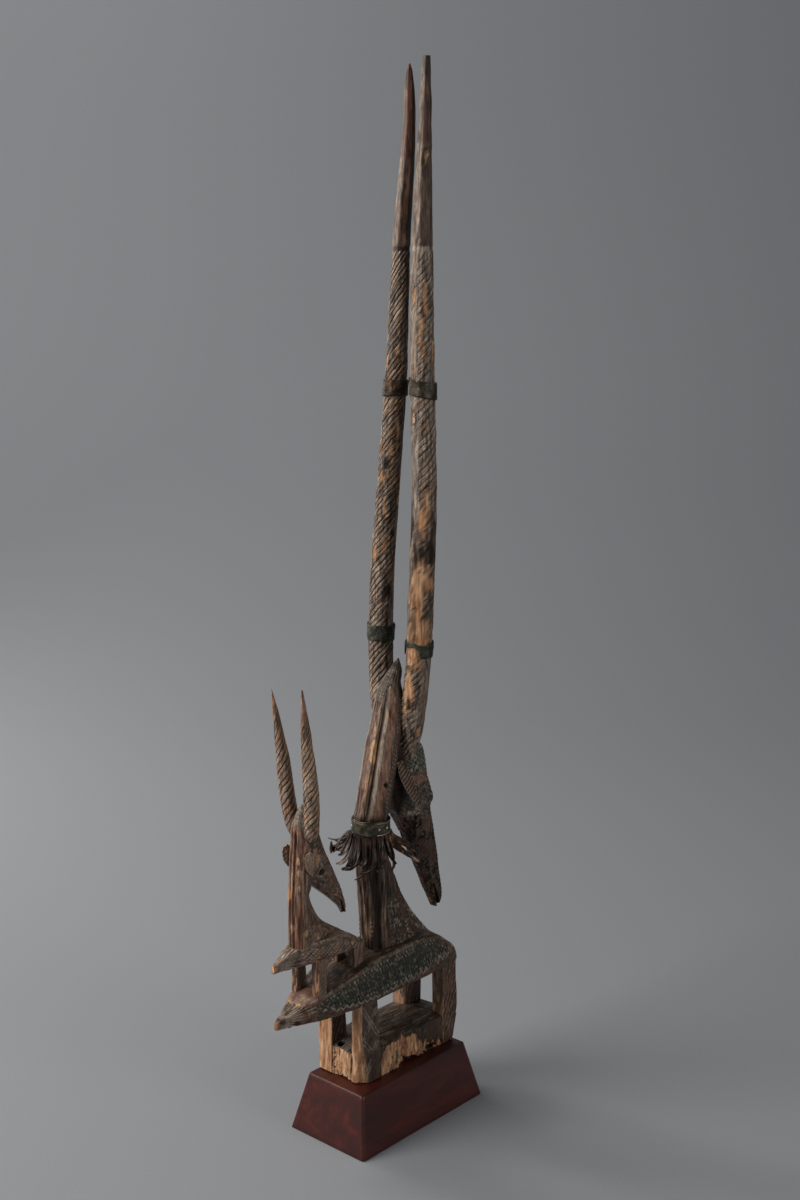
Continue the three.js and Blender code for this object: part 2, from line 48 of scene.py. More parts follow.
# The two animals, measured from the foot of the carving.
# halves: x, half the width. back: x, height. flutes: degrees from the front, width in degrees, depth. They hold
# above the height column, and the low flutes below it.
# legs: rear and front x, how far the top draws forward, right and left y. ear: root, tip, width, thickness.
# neck: height, x of the middle, radius, depth of the flutes, x of the blade's front edge, flare of the blade.
# head: height, x at the rear, the widest place and the front, then the half widths there. peak: height, x.
# mouth: tip and end as x and height, half the gap. horn line: share of the length, x, y. left, right: share, radius.
MOTHER = {
    "belly": 82.7,
    "halves": [(-149.5, 2), (-134, 9), (-124, 13.5), (-113, 19), (-90, 25.5), (-66, 30), (-42, 31.5)],
    "shoulder": 58,
    "chest": 96,
    "back": [(-149.5, 89.5), (-121, 101), (-75, 115.5), (-30, 124), (35, 125.5), (58, 118), (78, 103), (96, 86)],
    "legs": {
        "hind_left": (-62.8, -38, -7, 11.7, 29.7),
        "hind_right": (-62.8, -34, -6.5, -29.7, -15),
        "fore_left": (46, 71, 0, 11.7, 29.7),
        "fore_right": (58, 82, -4, -30, -14),
    },
    "ground": 20,
    "neck": [
        (94, -9, 15.5, 1, 86, 8), (110, -9.4, 16, 1.6, 72, 9), (122, -10, 16.4, 2, 61, 9),
        (137, -10.8, 16.6, 2, 48, 4), (152, -11.7, 16.8, 2, 37, 1.6), (171, -12.9, 17, 2, 25, 0.4),
        (202, -15.3, 17.4, 2, 11, 0), (228, -16.8, 17, 1.6, 1.4, 0), (240, -17.3, 16.6, 0.8, None, 0),
        (260, -17.3, 16.6, 0.8, None, 0), (264.5, -16, 17.2, 1.6, None, 0), (285, -11.4, 17.6, 2.2, None, 0),
        (314, -4.2, 17.5, 2.2, None, 0), (333, -0.2, 17, 2.2, None, 0), (347, 3.6, 16.2, 2, None, 0),
        (360, 6.6, 15.2, 1.7, None, 0), (376, 10, 13.8, 0.4, None, 0),
    ],
    "peak": (411.5, 22.7),
    "column": 250,
    "flutes": ((154, 7, 1.0), (120, 14, 0.25)),
    "low_flutes": ((127, 10, 1.0), (105, 6, 0.5), (150, 6, 0.4), (180, 8, 0.35)),
    "head": [
        (330, 4, 20, 33, 13, 17, 9), (322, 2, 24, 44, 14, 21.5, 12), (310, 2, 26, 47.5, 14, 21.5, 14),
        (285, 2, 28, 53, 13, 19.5, 14.5), (260.5, 9, 34, 60, 9, 16.5, 13.5), (255, 14, 36, 58.6, 8, 15.5, 12.5),
        (240, 23.5, 42, 62, 6.5, 13.5, 11.8), (202, 42.5, 57, 71.5, 4.5, 10, 9.4), (166, 60.5, 69, 79.8, 3.4, 7.2, 7.2),
        (148, 69.5, 76, 83.6, 3, 6, 6), (138.5, 74.6, 77.5, 80.6, 2.4, 4.4, 4.4),
    ],
    "mouth": ((80.8, 136), (69, 166), 1.5),
    "ear": ((8.5, 14, 313), (24, 27, 264), 20, 5),
    "horn": {
        "base": 312, "length": 661.5,
        "line": [(0, 22, 13.5), (0.055, 21.9, 17.8), (0.13, 23.4, 23.6), (0.26, 27.2, 25.7), (0.41, 34, 22.7),
                 (0.56, 38, 16.8), (0.74, 41.2, 13.2), (0.92, 48.8, 9.7), (1, 49.6, 10.6)],
        "left": [(0, 6.4), (0.035, 11), (0.06, 12.6), (0.27, 12.2), (0.41, 11.3), (0.54, 11), (0.74, 8.6),
                 (0.745, 8.3), (0.86, 6.7), (0.865, 6.3), (0.92, 5.4), (0.96, 4.4), (0.982, 2.8), (0.9915, 0.7)],
        "right": [(0, 6.4), (0.035, 11), (0.06, 12.7), (0.27, 12.5), (0.41, 12.2), (0.54, 11.9), (0.74, 10.6),
                  (0.745, 10), (0.88, 7), (0.885, 6.4), (0.94, 5.6), (0.98, 4.2), (1, 3.4)],
        "spiral": 0.74,
    },
}

FAWN = {
    "belly": 140.6,
    "halves": [(-152, 1.8), (-135, 7.2), (-126, 10), (-112, 14), (-100, 17), (-85, 19)],
    "shoulder": -66,
    "chest": -40.5,
    "back": [(-152, 147.5), (-135, 156), (-112, 161), (-80, 161), (-66, 156), (-52, 149), (-40.5, 139)],
    "legs": {
        "hind_left": (-112.5, -98, -3, 8, 16.8),
        "hind_right": (-110, -98.5, 0, -18.6, -8.2),
        "fore_left": (-60, -47, 0, 6.5, 15.5),
        "fore_right": (-58, -45, 0, -15.5, -6.5),
    },
    "ground": 96,
    "neck": [
        (144, -116.2, 10, 0.6, -47, 3), (153, -116.4, 10.8, 1, -57, 4.6), (161, -116.5, 11, 1.2, -68, 4),
        (173, -116.6, 11, 1.2, -86, 1), (187, -116.6, 11, 1.2, -97, 0.4), (205, -116.3, 11, 1.2, -104, 0),
        (216, -115.6, 11, 1.2, None, 0), (232, -114.6, 11, 1.2, None, 0), (264, -112.6, 10.4, 1.2, None, 0),
        (276, -112.6, 9, 0.3, None, 0),
    ],
    "peak": (296, -111),
    "column": 0,
    "flutes": ((167, 6, 1.0), (128, 10, 0.4)),
    "head": [
        (279, -117, -108, -103, 9, 12, 8), (270, -118, -106, -99.5, 9.5, 13, 9.5),
        (250, -117, -102, -91.5, 9, 12.5, 10), (224, -112, -94, -77.5, 7, 10.5, 8.4),
        (210, -97, -82, -69.8, 5, 9, 7.4), (190, -73.5, -67, -61.2, 3.6, 6, 5.6),
        (180, -63.5, -60.5, -57.6, 3, 4.4, 4.2), (173, -60, -58.5, -56.6, 2.4, 3, 3),
    ],
    "mouth": ((-57.6, 171), (-66, 190), 1.1),
    "ear": ((-119, 15.5, 254), (-112, 13.5, 229), 17, 6),
    "horn": {
        "base": 262, "length": 151.5,
        "line": [(0, -109.6, 10.6), (0.09, -111.4, 12.9), (0.22, -114, 15.1), (0.32, -115.7, 16.3),
                 (0.45, -117.7, 16.8), (0.72, -123.2, 18.2), (1, -129.6, 20.6)],
        "left": [(0, 4.4), (0.06, 7.4), (0.32, 7.7), (0.45, 7.1), (0.6, 5.8), (0.72, 4.2), (0.84, 2.4), (0.957, 0.6)],
        "right": [(0, 4.4), (0.06, 7.4), (0.32, 7.8), (0.45, 7.1), (0.6, 6.1), (0.72, 5), (0.85, 3.1), (1, 0.9)],
        "spiral": 0.72,
    },
}


# Numbers that shape a surface.
def lattice(cell, seed):
    """A repeatable number from -1 to 1 for each whole-numbered cell, mixed by large odd numbers."""
    x, y, z = (cell[:, axis].astype(np.uint32) for axis in range(3))
    mixed = (x * np.uint32(73856093)) ^ (y * np.uint32(19349663)) ^ (z * np.uint32(83492791))
    mixed ^= np.uint32(seed * 2654435761 % 2**32)
    mixed = (mixed ^ (mixed >> 13)) * np.uint32(1274126177)
    mixed = (mixed ^ (mixed >> 16)) * np.uint32(2246822519)
    return (mixed ^ (mixed >> 15)) / 2.0**31 - 1


def lumps(points, size, seed, finer=1):
    """Smooth lumps from about -1 to 1, size mm along X, Y and Z, with finer layers of half the size each."""
    shift, gain = 7.7, 1.5  # from layer to layer, and up to the full range
    total, weight = np.zeros(len(points)), 0
    for layer in range(finer):
        place = points / np.array(size, float) * 2**layer + shift * layer
        cell = np.floor(place).astype(np.int64)
        share = place - cell
        share = share * share * (3 - 2 * share)
        for corner in np.ndindex(2, 2, 2):
            part = np.prod(np.where(np.array(corner), share, 1 - share), axis=1)
            total += part * lattice(cell + corner, seed + layer) / 2**layer
        weight += 1 / 2**layer
    return total / weight * gain


def ease(value, low, high):
    """0 at low, 1 at high and beyond, smooth between."""
    share = np.clip((value - low) / (high - low), 0, 1)
    return share * share * (3 - 2 * share)


def cut(away, width):
    """A cut of that width: 1 along its middle, 0 outside."""
    return ease(np.abs(away), width / 2, width / 8)


def nearest(value, pitch):
    """Distance to the nearest line of a row of lines a pitch apart."""
    return np.abs((value / pitch + 0.5) % 1 - 0.5) * pitch


def punched(along, away, pitch, size):
    """A row of round punch marks along a line."""
    return ease(np.hypot(nearest(along, pitch), away), size / 2, size / 6)


def smooth_line(table, at):
    """Values at the places of a smooth line through rows of (place, value, ...), without overshoot."""
    table = np.array(table, float).reshape(len(table), -1)
    place, value = table[:, 0], table[:, 1:]
    run = np.diff(place)[:, None]
    slope = np.diff(value, axis=0) / run
    before, after = np.vstack([slope[:1], slope]), np.vstack([slope, slope[-1:]])
    limit = 3 * np.minimum(np.abs(before), np.abs(after))
    bend = np.where(before * after <= 0, 0, np.clip((before + after) / 2, -limit, limit))
    at = np.clip(np.atleast_1d(np.asarray(at, float)), place[0], place[-1])
    i = np.clip(np.searchsorted(place, at, side="right") - 1, 0, len(run) - 1)
    t = ((at - place[i]) / run[i, 0])[:, None]
    made = (value[i] * (1 + 2 * t) * (1 - t) ** 2 + value[i + 1] * t * t * (3 - 2 * t)
            + run[i] * t * (1 - t) * (bend[i] * (1 - t) - bend[i + 1] * t))
    return made[:, 0] if made.shape[1] == 1 else made


def straight_line(table, at):
    """The value at each place on straight lines through rows of (place, value)."""
    table = np.array(table, float)
    return np.interp(at, table[:, 0], table[:, 1])


# Skins: closed nets of points, grown from rings.
FINE = 0.8  # between the points of most skins


def finer_round(rings, step, worn_edge):
    """The rings with their corners worn round, first by about worn_edge and then less, and with a point every step."""
    most, again = 0.3, 0.4  # of a side's length, and of the wear before
    for wear in (worn_edge, worn_edge * again):
        after = np.roll(rings, -1, 1)
        length = np.linalg.norm(after - rings, axis=2).mean(0)
        share = np.minimum(most, wear / np.maximum(length, 1e-6))[None, :, None]
        rings = np.stack([rings + (after - rings) * share, after + (rings - after) * share], 2)
        rings = rings.reshape(len(rings), -1, 3)
    gap = np.linalg.norm(np.roll(rings, -1, 1) - rings, axis=2).mean(0)
    place = np.concatenate([[0], np.cumsum(gap)])
    at = np.linspace(0, place[-1], max(8, int(place[-1] / step)), endpoint=False)
    i = np.clip(np.searchsorted(place, at, side="right") - 1, 0, len(gap) - 1)
    share = ((at - place[i]) / gap[i])[None, :, None]
    closed = np.concatenate([rings, rings[:, :1]], 1)
    return closed[:, i] * (1 - share) + closed[:, i + 1] * share


def finer_along(rings, step):
    """The rings with others between them, on smooth lines, a step apart."""
    gap = np.linalg.norm(np.diff(rings, axis=0), axis=2).mean(1)
    place = np.concatenate([[0], np.cumsum(gap)])
    at = np.linspace(0, place[-1], max(2, int(place[-1] / step) + 1))
    flat = np.hstack([place[:, None], rings.reshape(len(rings), -1)])
    return smooth_line(flat, at).reshape(len(at), *rings.shape[1:])


def skin(rings, first=2, last=2):
    """A closed skin over rings that wind counterclockwise seen from the last one, each end closed in so many rows."""
    def closing(ring, rows):
        middle = ring.mean(0)
        return [middle + (ring - middle) * (1 - row / rows) for row in range(1, rows)]

    whole = np.array(closing(rings[0], first)[::-1] + list(rings) + closing(rings[-1], last))
    rows, columns = whole.shape[:2]
    number = np.arange(rows * columns).reshape(rows, columns)
    after = np.roll(number, -1, 1)
    quads = np.stack([number[:-1], after[:-1], after[1:], number[1:]], -1).reshape(-1, 4)
    low, high = rows * columns, rows * columns + 1
    fans = [[low, b, a] for a, b in zip(number[0], after[0])]
    fans += [[high, a, b] for a, b in zip(number[-1], after[-1])]
    points = np.vstack([whole.reshape(-1, 3), rings[0].mean(0), rings[-1].mean(0)])
    return {"points": points + FOOT, "quads": quads, "fans": np.array(fans), "net": (rows, columns)}


def outward(form):
    """The direction outwards at each point."""
    points, total = form["points"], np.zeros_like(form["points"])
    a, b, c, d = (points[form["quads"][:, corner]] for corner in range(4))
    across = np.cross(c - a, d - b)
    for corner in range(4):
        np.add.at(total, form["quads"][:, corner], across)
    a, b, c = (points[form["fans"][:, corner]] for corner in range(3))
    for corner in range(3):
        np.add.at(total, form["fans"][:, corner], np.cross(b - a, c - a))
    return total / np.maximum(np.linalg.norm(total, axis=1, keepdims=True), 1e-9)


def raise_skin(form, height):
    """Lifts each point outwards by its height."""
    form["points"] = form["points"] + outward(form) * np.asarray(height)[:, None]


MARKS = ("cut", "worn", "bare", "green", "grey", "red", "grain")  # how much of each look a point has, from 0 to 1


def make_piece(name, forms, material, nodes, marks=None):
    """One piece of the object from skins, standing for its CAD nodes."""
    points, faces, start = [], [], 0
    for form in forms:
        points.append(form["points"])
        faces += (form["quads"] + start).tolist() + (form["fans"] + start).tolist()
        start += len(form["points"])
    mesh = bpy.data.meshes.new(name)
    mesh.from_pydata((np.vstack(points) * MM).tolist(), [], faces)
    for mark in MARKS if marks is not None else ():
        value = np.clip(marks.get(mark, np.zeros(start)), 0, 1).astype(np.float32)
        mesh.attributes.new(mark, "FLOAT", "POINT").data.foreach_set("value", value)
    mesh.shade_smooth()
    piece = bpy.data.objects.new(name, mesh)
    bpy.context.scene.collection.objects.link(piece)
    piece.data.materials.append(material)
    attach(piece, "root")
    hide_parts(*nodes)


def ragged_spots(points, places, seed):
    """How far inside any ragged spot (x, y, z, across, up) each point lies, from 0 to 1."""
    rough = 1 + 0.55 * lumps(points, (2.2, 2.2, 9), seed, 3)
    inside = np.zeros(len(points))
    for x, y, z, across, up in places:
        sideways = ((points[:, 0] - x) ** 2 + (points[:, 1] - y) ** 2) / across**2
        away = np.sqrt(sideways + ((points[:, 2] - z) / up) ** 2)
        inside = np.maximum(inside, ease(-away * rough, -1.05, -0.92))
    return inside


def old_wood_piece(name, form, relief):
    """A piece of the carving: its own relief and marks on top of the adze's and the fibres' unevenness."""
    points, usual_grain = form["points"], 0.3
    height, marks = relief(points, outward(form), form)
    raise_skin(form, height + 0.3 * lumps(points, (9, 9, 16), 3) + 0.12 * lumps(points, (2.2, 2.2, 9), 5, 2))
    marks = {mark: np.broadcast_to(share, len(points)) for mark, share in {"grain": usual_grain, **marks}.items()}
    make_piece(name, [form], OLD_WOOD, ["carving"], marks)


# Bodies.
def body_rings(animal):
    """Sections of a body from its tail to its chest, which rounds in from the shoulder on."""
    corners = ((0.95, 0), (1, 0.25), (0.96, 0.62), (0.84, 1))  # shares of the half width and of the height
    blunt, narrowest, crown = 2.4, 0.22, 0.05
    shoulder, chest = animal["shoulder"], animal["chest"]
    places = [x for x, _ in animal["halves"]]
    places += [(places[-1] + shoulder) / 2]
    places += [shoulder + (chest - shoulder) * share for share in (0, 0.3, 0.52, 0.7, 0.84, 0.94, 1)]
    rings = []
    for x in places:
        share = np.clip((x - shoulder) / (chest - shoulder), 0, 1)
        half = straight_line(animal["halves"], x) * max(narrowest, (1 - share**blunt) ** (1 / blunt))
        top, belly = straight_line(animal["back"], x), animal["belly"]
        left = [(x, half * out, belly + (top - belly) * up) for out, up in corners]
        right = [(x, -y, z) for _, y, z in left[::-1]]
        rings.append([*left, (x, 0, top + half * crown), *right])
    return finer_along(finer_round(np.array(rings, float), FINE, 1.3), FINE)


def converging(points, tip, turn, width):
    """Fine lines that meet at the tip, that many degrees apart, over the flanks and the top."""
    x, y, z = (points - tip).T
    slope = z - 0.9 * np.abs(y)
    reach = np.hypot(x, slope)
    return cut(np.radians(nearest(np.degrees(np.arctan2(slope, x)), turn)) * reach, width) * ease(reach, 5, 14)


TEETH_FOOT = [(-116, 155), (-100, 149), (-60, 146.6), (0, 146.4), (30, 148.4), (69, 156.6), (96, 165)]  # x, height


def mother_body_relief(points, facing, form):
    """A green panel of fine strokes that ends in teeth, a double line below it, the ridge and the lined tail."""
    x, y, z = points.T
    tooth_pitch, stroke_pitch, dot_pitch = 7.4, 3.4, 4.6
    tail_front, panel_rear, panel_front = -112, -113, 84
    belly = MOTHER["belly"] + FOOT[2]
    back = smooth_line(MOTHER["back"], x) + FOOT[2]
    side = ease(np.abs(facing[:, 1]), 0.3, 0.55)
    top = ease(facing[:, 2], 0.55, 0.8)
    uneven = lumps(points, (6, 6, 6), 20, 2)
    worn_line = ease(uneven, -0.5, 0.1)
    before_chest = ease(panel_front - x, -1, 1)
    teeth = (3.4 + 3 * ease(x, -30, 5)) * np.abs(2 * ((x / tooth_pitch) % 1) - 1)
    over_hem = z - straight_line(TEETH_FOOT, x)
    under_rim = back - 3.8 - 3 * ease(x, 50, panel_front) - z
    panel = ease(over_hem - teeth, -0.3, 0.5) * ease(under_rim, -0.3, 0.5) * side
    panel *= ease(x, panel_rear - 0.6, panel_rear + 0.8) * before_chest
    strokes = cut(nearest(x + 0.25 * (z - 150) + 0.6 * uneven, stroke_pitch), 1.4) * panel
    dots = punched(x, under_rim - 2, dot_pitch, 2.8) + punched(x + dot_pitch / 2, under_rim - 5.6, dot_pitch, 2.2)
    dots = (dots + punched(x, over_hem - 6.6, 4.2, 2.2)) * panel * ease(lumps(points, (8, 8, 8), 23), -0.8, 0.2)
    tooth_edge = ease(np.abs(over_hem - teeth), 1.1, 0.3) * side * ease(x, -110, -102) * before_chest
    hem = ease(-over_hem, -0.4, 0.6) * side * ease(x, -118, -106)
    hem_lines = (cut(over_hem + 1.2 + 0.3 * uneven, 1.2) + cut(over_hem + 3.4 + 0.4 * uneven, 1.2)) * hem
    ridge_lines = cut(z - back + 2.2 + 0.3 * uneven, 1.3) * side * ease(x, -112, -104)
    end_arcs = cut(nearest(np.hypot(x - 60, z - 150) - 4, 6), 1.4) * side * ease(x, panel_front, panel_front + 2)
    deck = top * ease(x, -125, -124) * ease(-x, 97, 99) * ease(np.abs(y - FOOT[1]), 19, 17)  # the fawn's ground
    tail = ease(tail_front - x, -0.5, 2)
    tail_lines = converging(points, (-151, 6, 147), 7, 2) * tail * (1 - deck)
    tail_lines *= 1 - ease(lumps(points, (20, 5, 5), 19), 0.3, 0.7)
    scratch = ease(lumps(points, (7, 7, 0.9), 21), 0.4, 0.75) * side
    long_strokes = ease(lumps(points, (14, 1.6, 1.6), 22), 0.2, 0.7) * top
    # Painted highlight: a lighter line along the ridge at the top of each flank, where it catches the light.
    crown = ease(np.abs(z - back + 0.4), 1.5, 0.3) * side * ease(x, -122, -112)
    belly_edge = ease(np.abs(z - belly - 1), 1.4, 0.4) * side
    speck = ease(lumps(points, (1.9, 1.9, 1.9), 26, 2) + 0.5 * uneven, 0.3, 0.6) * panel
    bare_top = top * (1 - deck) * (1 - tail)
    towards_chest = ease(x, 25, 75)
    height = (-0.55 * strokes - 0.7 * dots - 0.9 * hem_lines - 0.8 * ridge_lines - 0.8 * tail_lines - 0.6 * end_arcs
              + 0.5 * tooth_edge + 1.2 * deck - 0.5 * panel + 0.4 * crown)
    return height, {
        "cut": 0.5 * strokes + 0.35 * hem_lines + 0.25 * ridge_lines + 0.2 * panel * (1 - speck) + 0.2 * hem
        + 0.35 * ease(uneven, 0.15, 0.6) + 0.5 * bare_top * (1 - long_strokes)
        + 0.45 * tail * (1 - tail_lines) * (1 - deck),
        # The crown's share of worn and grey is the ridge's painted highlight.
        "worn": 0.7 * crown + 0.4 * scratch + 0.5 * tail * ease(-uneven, -0.5, 0.3) + 0.1 * hem
        + 0.4 * long_strokes * (1 - deck) + 0.4 * belly_edge + 0.4 * speck,
        "green": 0.9 * panel * (1 - 0.3 * ease(uneven, 0.2, 0.7)) * (1 - 0.45 * towards_chest) + 0.3 * bare_top
        + 0.25 * hem,
        "grey": 1.1 * dots + 0.12 * deck * ease(uneven, -0.9, 0.1) + 0.3 * speck
        + 0.95 * tooth_edge * ease(uneven, -0.9, -0.1) + 0.85 * tail_lines
        + (0.5 * hem_lines + 0.6 * ridge_lines) * ease(uneven, -0.4, 0.2) + (0.75 * crown + 0.5 * end_arcs) * worn_line,
        "bare": 0.8 * ragged_spots(points, [(-150, 6, 146, 3.5, 4), (-124.5, 12, 159, 2, 1.2),
                                            (-124, 1, 159, 3, 1.1)], 24),
        "red": 0.5 * ease(lumps(points, (16, 16, 7), 25), 0.05, 0.5) * (1 - panel) + 0.3 * tail
        + 0.5 * panel * towards_chest,
    }


def fawn_body_relief(points, facing, form):
    """Slanting strokes on the flank under a double ridge line, and the lined tail."""
    x, _, z = points.T
    side = ease(np.abs(facing[:, 1]), 0.25, 0.5)
    under_back = smooth_line(FAWN["back"], x) + FOOT[2] - z
    uneven = lumps(points, (5, 5, 5), 30, 2)
    hatch = cut(nearest(x - 1.5 * (z - 200) + 0.8 * uneven, 6.4), 2.6) * side
    hatch *= ease(under_back, 5.2, 6.4) * ease(x, -128, -118)
    ridge_lines = (cut(under_back - 2.2, 1.7) + cut(under_back - 5.4, 1.6)) * side * ease(x, -140, -130)
    tail_lines = converging(points, (-153, 6, 204), 8.5, 1.9) * ease(-x, 118, 126)
    # Painted highlight: a lighter line along the ridge at the top of each flank, where it catches the light.
    crown = ease(np.abs(under_back - 0.5), 1.4, 0.3) * side
    return -0.7 * hatch - 0.8 * ridge_lines - 0.6 * tail_lines, {
        "cut": 0.3 * ridge_lines + 0.35 * ease(uneven, 0.1, 0.7) + 0.25 * side * (1 - hatch) * (1 - crown),
        "worn": 0.35 * side * (1 - hatch) * ease(-uneven, -0.4, 0.3)
        + 0.5 * ease(lumps(points, (6, 6, 3), 31, 2), 0.1, 0.6),
        # The crown's share of grey is the ridge's painted highlight.
        "grey": hatch * ease(uneven, -0.9, -0.2) + 0.9 * tail_lines + 0.7 * crown * ease(uneven, -0.4, 0.2)
        + 0.95 * ridge_lines * ease(uneven, -0.7, 0),
        "bare": ragged_spots(points, [(-151.5, 6, 204, 3.5, 3), (-108, -9, 204, 3.5, 2), (-62, -12, 207, 2.5, 2)], 32),
        "red": 0.45 * ease(lumps(points, (9, 9, 6), 33), -0.2, 0.4),
    }


def leg_rings(animal, leg, foot):
    """A leg from the belly down to the block, or on down to its foot as a corner post. The near hind one is worn off
    at its corner there, and the near fore one draws in at its front."""
    rear, front, draw, right, left = animal["legs"][leg]
    post = foot is not None
    worn_corner = leg == "hind_right" and post
    front_in, front_in_up_to = 9 if leg == "fore_right" and post else 0, 0.4

    def level(z, drawn, worn):
        corner = [(rear, right + worn, z), (rear + worn, right, z)] if worn_corner else [(rear, right, z)]
        return [(front + drawn, right, z), (front + drawn, left, z), (rear, left, z), *corner]

    low, high = foot if post else animal["ground"], animal["belly"] + 4
    rings = [level(low + (high - low) * up, draw * up - front_in * max(0, 1 - up / front_in_up_to), worn)
             for up, worn in ((0, 10), (0.14, 8.5), (0.3, 6), (0.45, 2.5), (0.6, 0.8), (1, 0.6))]
    return finer_along(finer_round(np.array(rings, float), FINE, 0.9), FINE)


# Double lines on the near hind leg, each from one x and height to another.
HIND_CROSSES = (((-62, 141), (-40, 107)), ((-41, 136), (-61, 107)), ((-60, 105), (-38, 77)), ((-41, 101), (-56, 69)))


def mother_leg_relief(points, facing, form):
    """Crossed double lines on the near hind leg, single ones on the others, and bare, fissured wood behind."""
    x, y, z = points.T
    behind = ease(-facing[:, 0], 0.5, 0.8)
    right = ease(-facing[:, 1], 0.6, 0.85)
    hind = ease(-x, 20, 25)
    near_hind = hind * ease(-y, 5, 8)
    uneven = lumps(points, (5, 5, 7), 40, 2)
    fissure = ease(lumps(points, (1.6, 1.6, 22), 41, 2), 0.25, 0.6)
    hollow = lumps(points, (5, 5, 26), 46, 2)
    cross = np.zeros(len(points))
    for start, end in HIND_CROSSES:
        run = np.array(end) - start
        away = ((x - start[0]) * run[1] - (z - start[1]) * run[0]) / np.hypot(*run) + 0.3 * uneven
        along = ((x - start[0]) * run[0] + (z - start[1]) * run[1]) / np.dot(run, run)
        inside = ease(along, -0.02, 0.02) * ease(1 - along, -0.02, 0.02)
        cross = np.maximum(cross, (cut(away - 1.5, 1.9) + cut(away + 1.5, 1.9)) * inside)
    cross = cross * near_hind * right * ease(uneven, -1.1, -0.5)
    bare = behind * hind * ease(lumps(points, (4, 4, 24), 42, 2) - (z - 138) / 30, -0.8, -0.2)
    bare = bare * (1 - 0.6 * ease(lumps(points, (3, 3, 20), 47, 2), 0, 0.5))
    bare = bare + 0.45 * behind * (1 - hind) * ragged_spots(points, [(46, 27.7, 98, 8, 9)], 43)
    bare = bare + 0.6 * ease(lumps(points, (2.5, 2.5, 12), 44, 2), 0.45, 0.7) * behind
    scratch = ease(lumps(points, (1.2, 4, 9), 45), 0.3, 0.7)
    lines = cut(nearest(x - 0.45 * z + uneven, 5.5), 1.3) * right * (1 - near_hind)
    edge = ease(np.abs(facing[:, 0]) * np.abs(facing[:, 1]), 0.2, 0.45)
    height = -0.7 * fissure * bare + 0.9 * hollow * bare - 0.8 * cross - 0.5 * lines
    return height, {
        "bare": bare,
        "cut": 0.5 * fissure * bare + 0.35 * ease(uneven, 0.2, 0.8) * (1 - behind) + 0.42 * near_hind * right
        + 0.25 * (1 - right) * (1 - behind) + 0.35 * (1 - hind) * right * (1 - lines),
        "worn": 0.4 * scratch * (1 - near_hind) + 0.45 * edge,
        "grey": 1.2 * cross + 0.75 * lines * ease(uneven, -0.3, 0.2) + 0.12 * near_hind * right,
        "red": 0.25 * (1 - hind) * right + 0.3 * ease(uneven, -0.4, 0.3) + behind * hind,
    }


def fawn_leg_relief(points, facing, form):
    """Nested arcs on the sides and a little tan wood behind."""
    x, _, z = points.T
    behind = ease(-facing[:, 0], 0.5, 0.8)
    side = ease(np.abs(facing[:, 1]), 0.5, 0.8)
    arcs = cut(nearest(np.hypot(x + 122, z - 208), 4.4), 1.7) * side
    tan = behind * ease(lumps(points, (2, 2, 11), 51, 2), 0.1, 0.5)
    return -0.6 * arcs, {
        "cut": 0.25 * arcs + 0.3 * ease(lumps(points, (4, 4, 9), 52), 0.2, 0.7),
        "worn": 0.35 * (1 - arcs) * side,
        "grey": 0.55 * arcs,
        "bare": 0.6 * tan,
        "red": 0.3,
    }


# Necks with their crests.
def even_turns(count):
    """So many degrees once round, evenly apart."""
    return np.arange(count) * 360 / count


def bump_at(value, middle, width):
    """A soft swelling: 1 at the middle and next to nothing two widths away."""
    return np.exp(-(((value - middle) / width) ** 2))


def neck_rings(animal, columns):
    """Sections of a neck: round and fluted behind, drawn out to a flat blade in front where it has one."""
    turn = even_turns(columns)
    radian = np.radians(turn)
    fold = np.minimum(turn, 360 - turn)  # 180 behind, 0 in front
    over = 1 - fold / 90

    def section(z, middle, radius, flute, blade, flare):
        flutes = animal["flutes"] if z > animal["column"] else animal["low_flutes"]
        valley = sum(deep * bump_at(fold, place, wide) for place, wide, deep in flutes)
        reach = radius - 1.3 * flute * valley
        x, y = middle + reach * np.cos(radian), reach * np.sin(radian)
        if blade is not None:
            x = np.where(over >= 0, middle + (blade - middle) * over, x)
            drawn = radius * (1 - over * 0.9) + flare * np.sin(over * math.pi)
            y = np.where(over >= 0, np.sign(np.sin(radian)) * drawn * ease(1 - over, 0, 0.04), y)
        return np.stack([x, y, np.full(columns, float(z))], -1)

    rows = [section(*row) for row in animal["neck"]]
    (top, top_x, radius), (peak, peak_x) = animal["neck"][-1][:3], animal["peak"]
    for up, across, share in ((0.35, 0.12, 0.74), (0.68, 0.62, 0.5), (1, 1, 0.03)):  # the crest's point
        rows.append(section(top + (peak - top) * up, top_x + (peak_x - top_x) * across, radius * share, 0, None, 0))
    return finer_along(np.array(rows), FINE * 1.3)


def neck_place(form):
    """Degrees round the neck, degrees from its front, and how far over towards the blade's edge, for each point."""
    rows, columns = form["net"]
    turn = np.concatenate([np.tile(even_turns(columns), rows), [0, 0]])
    fold = np.minimum(turn, 360 - turn)
    return turn, fold, 1 - fold / 90


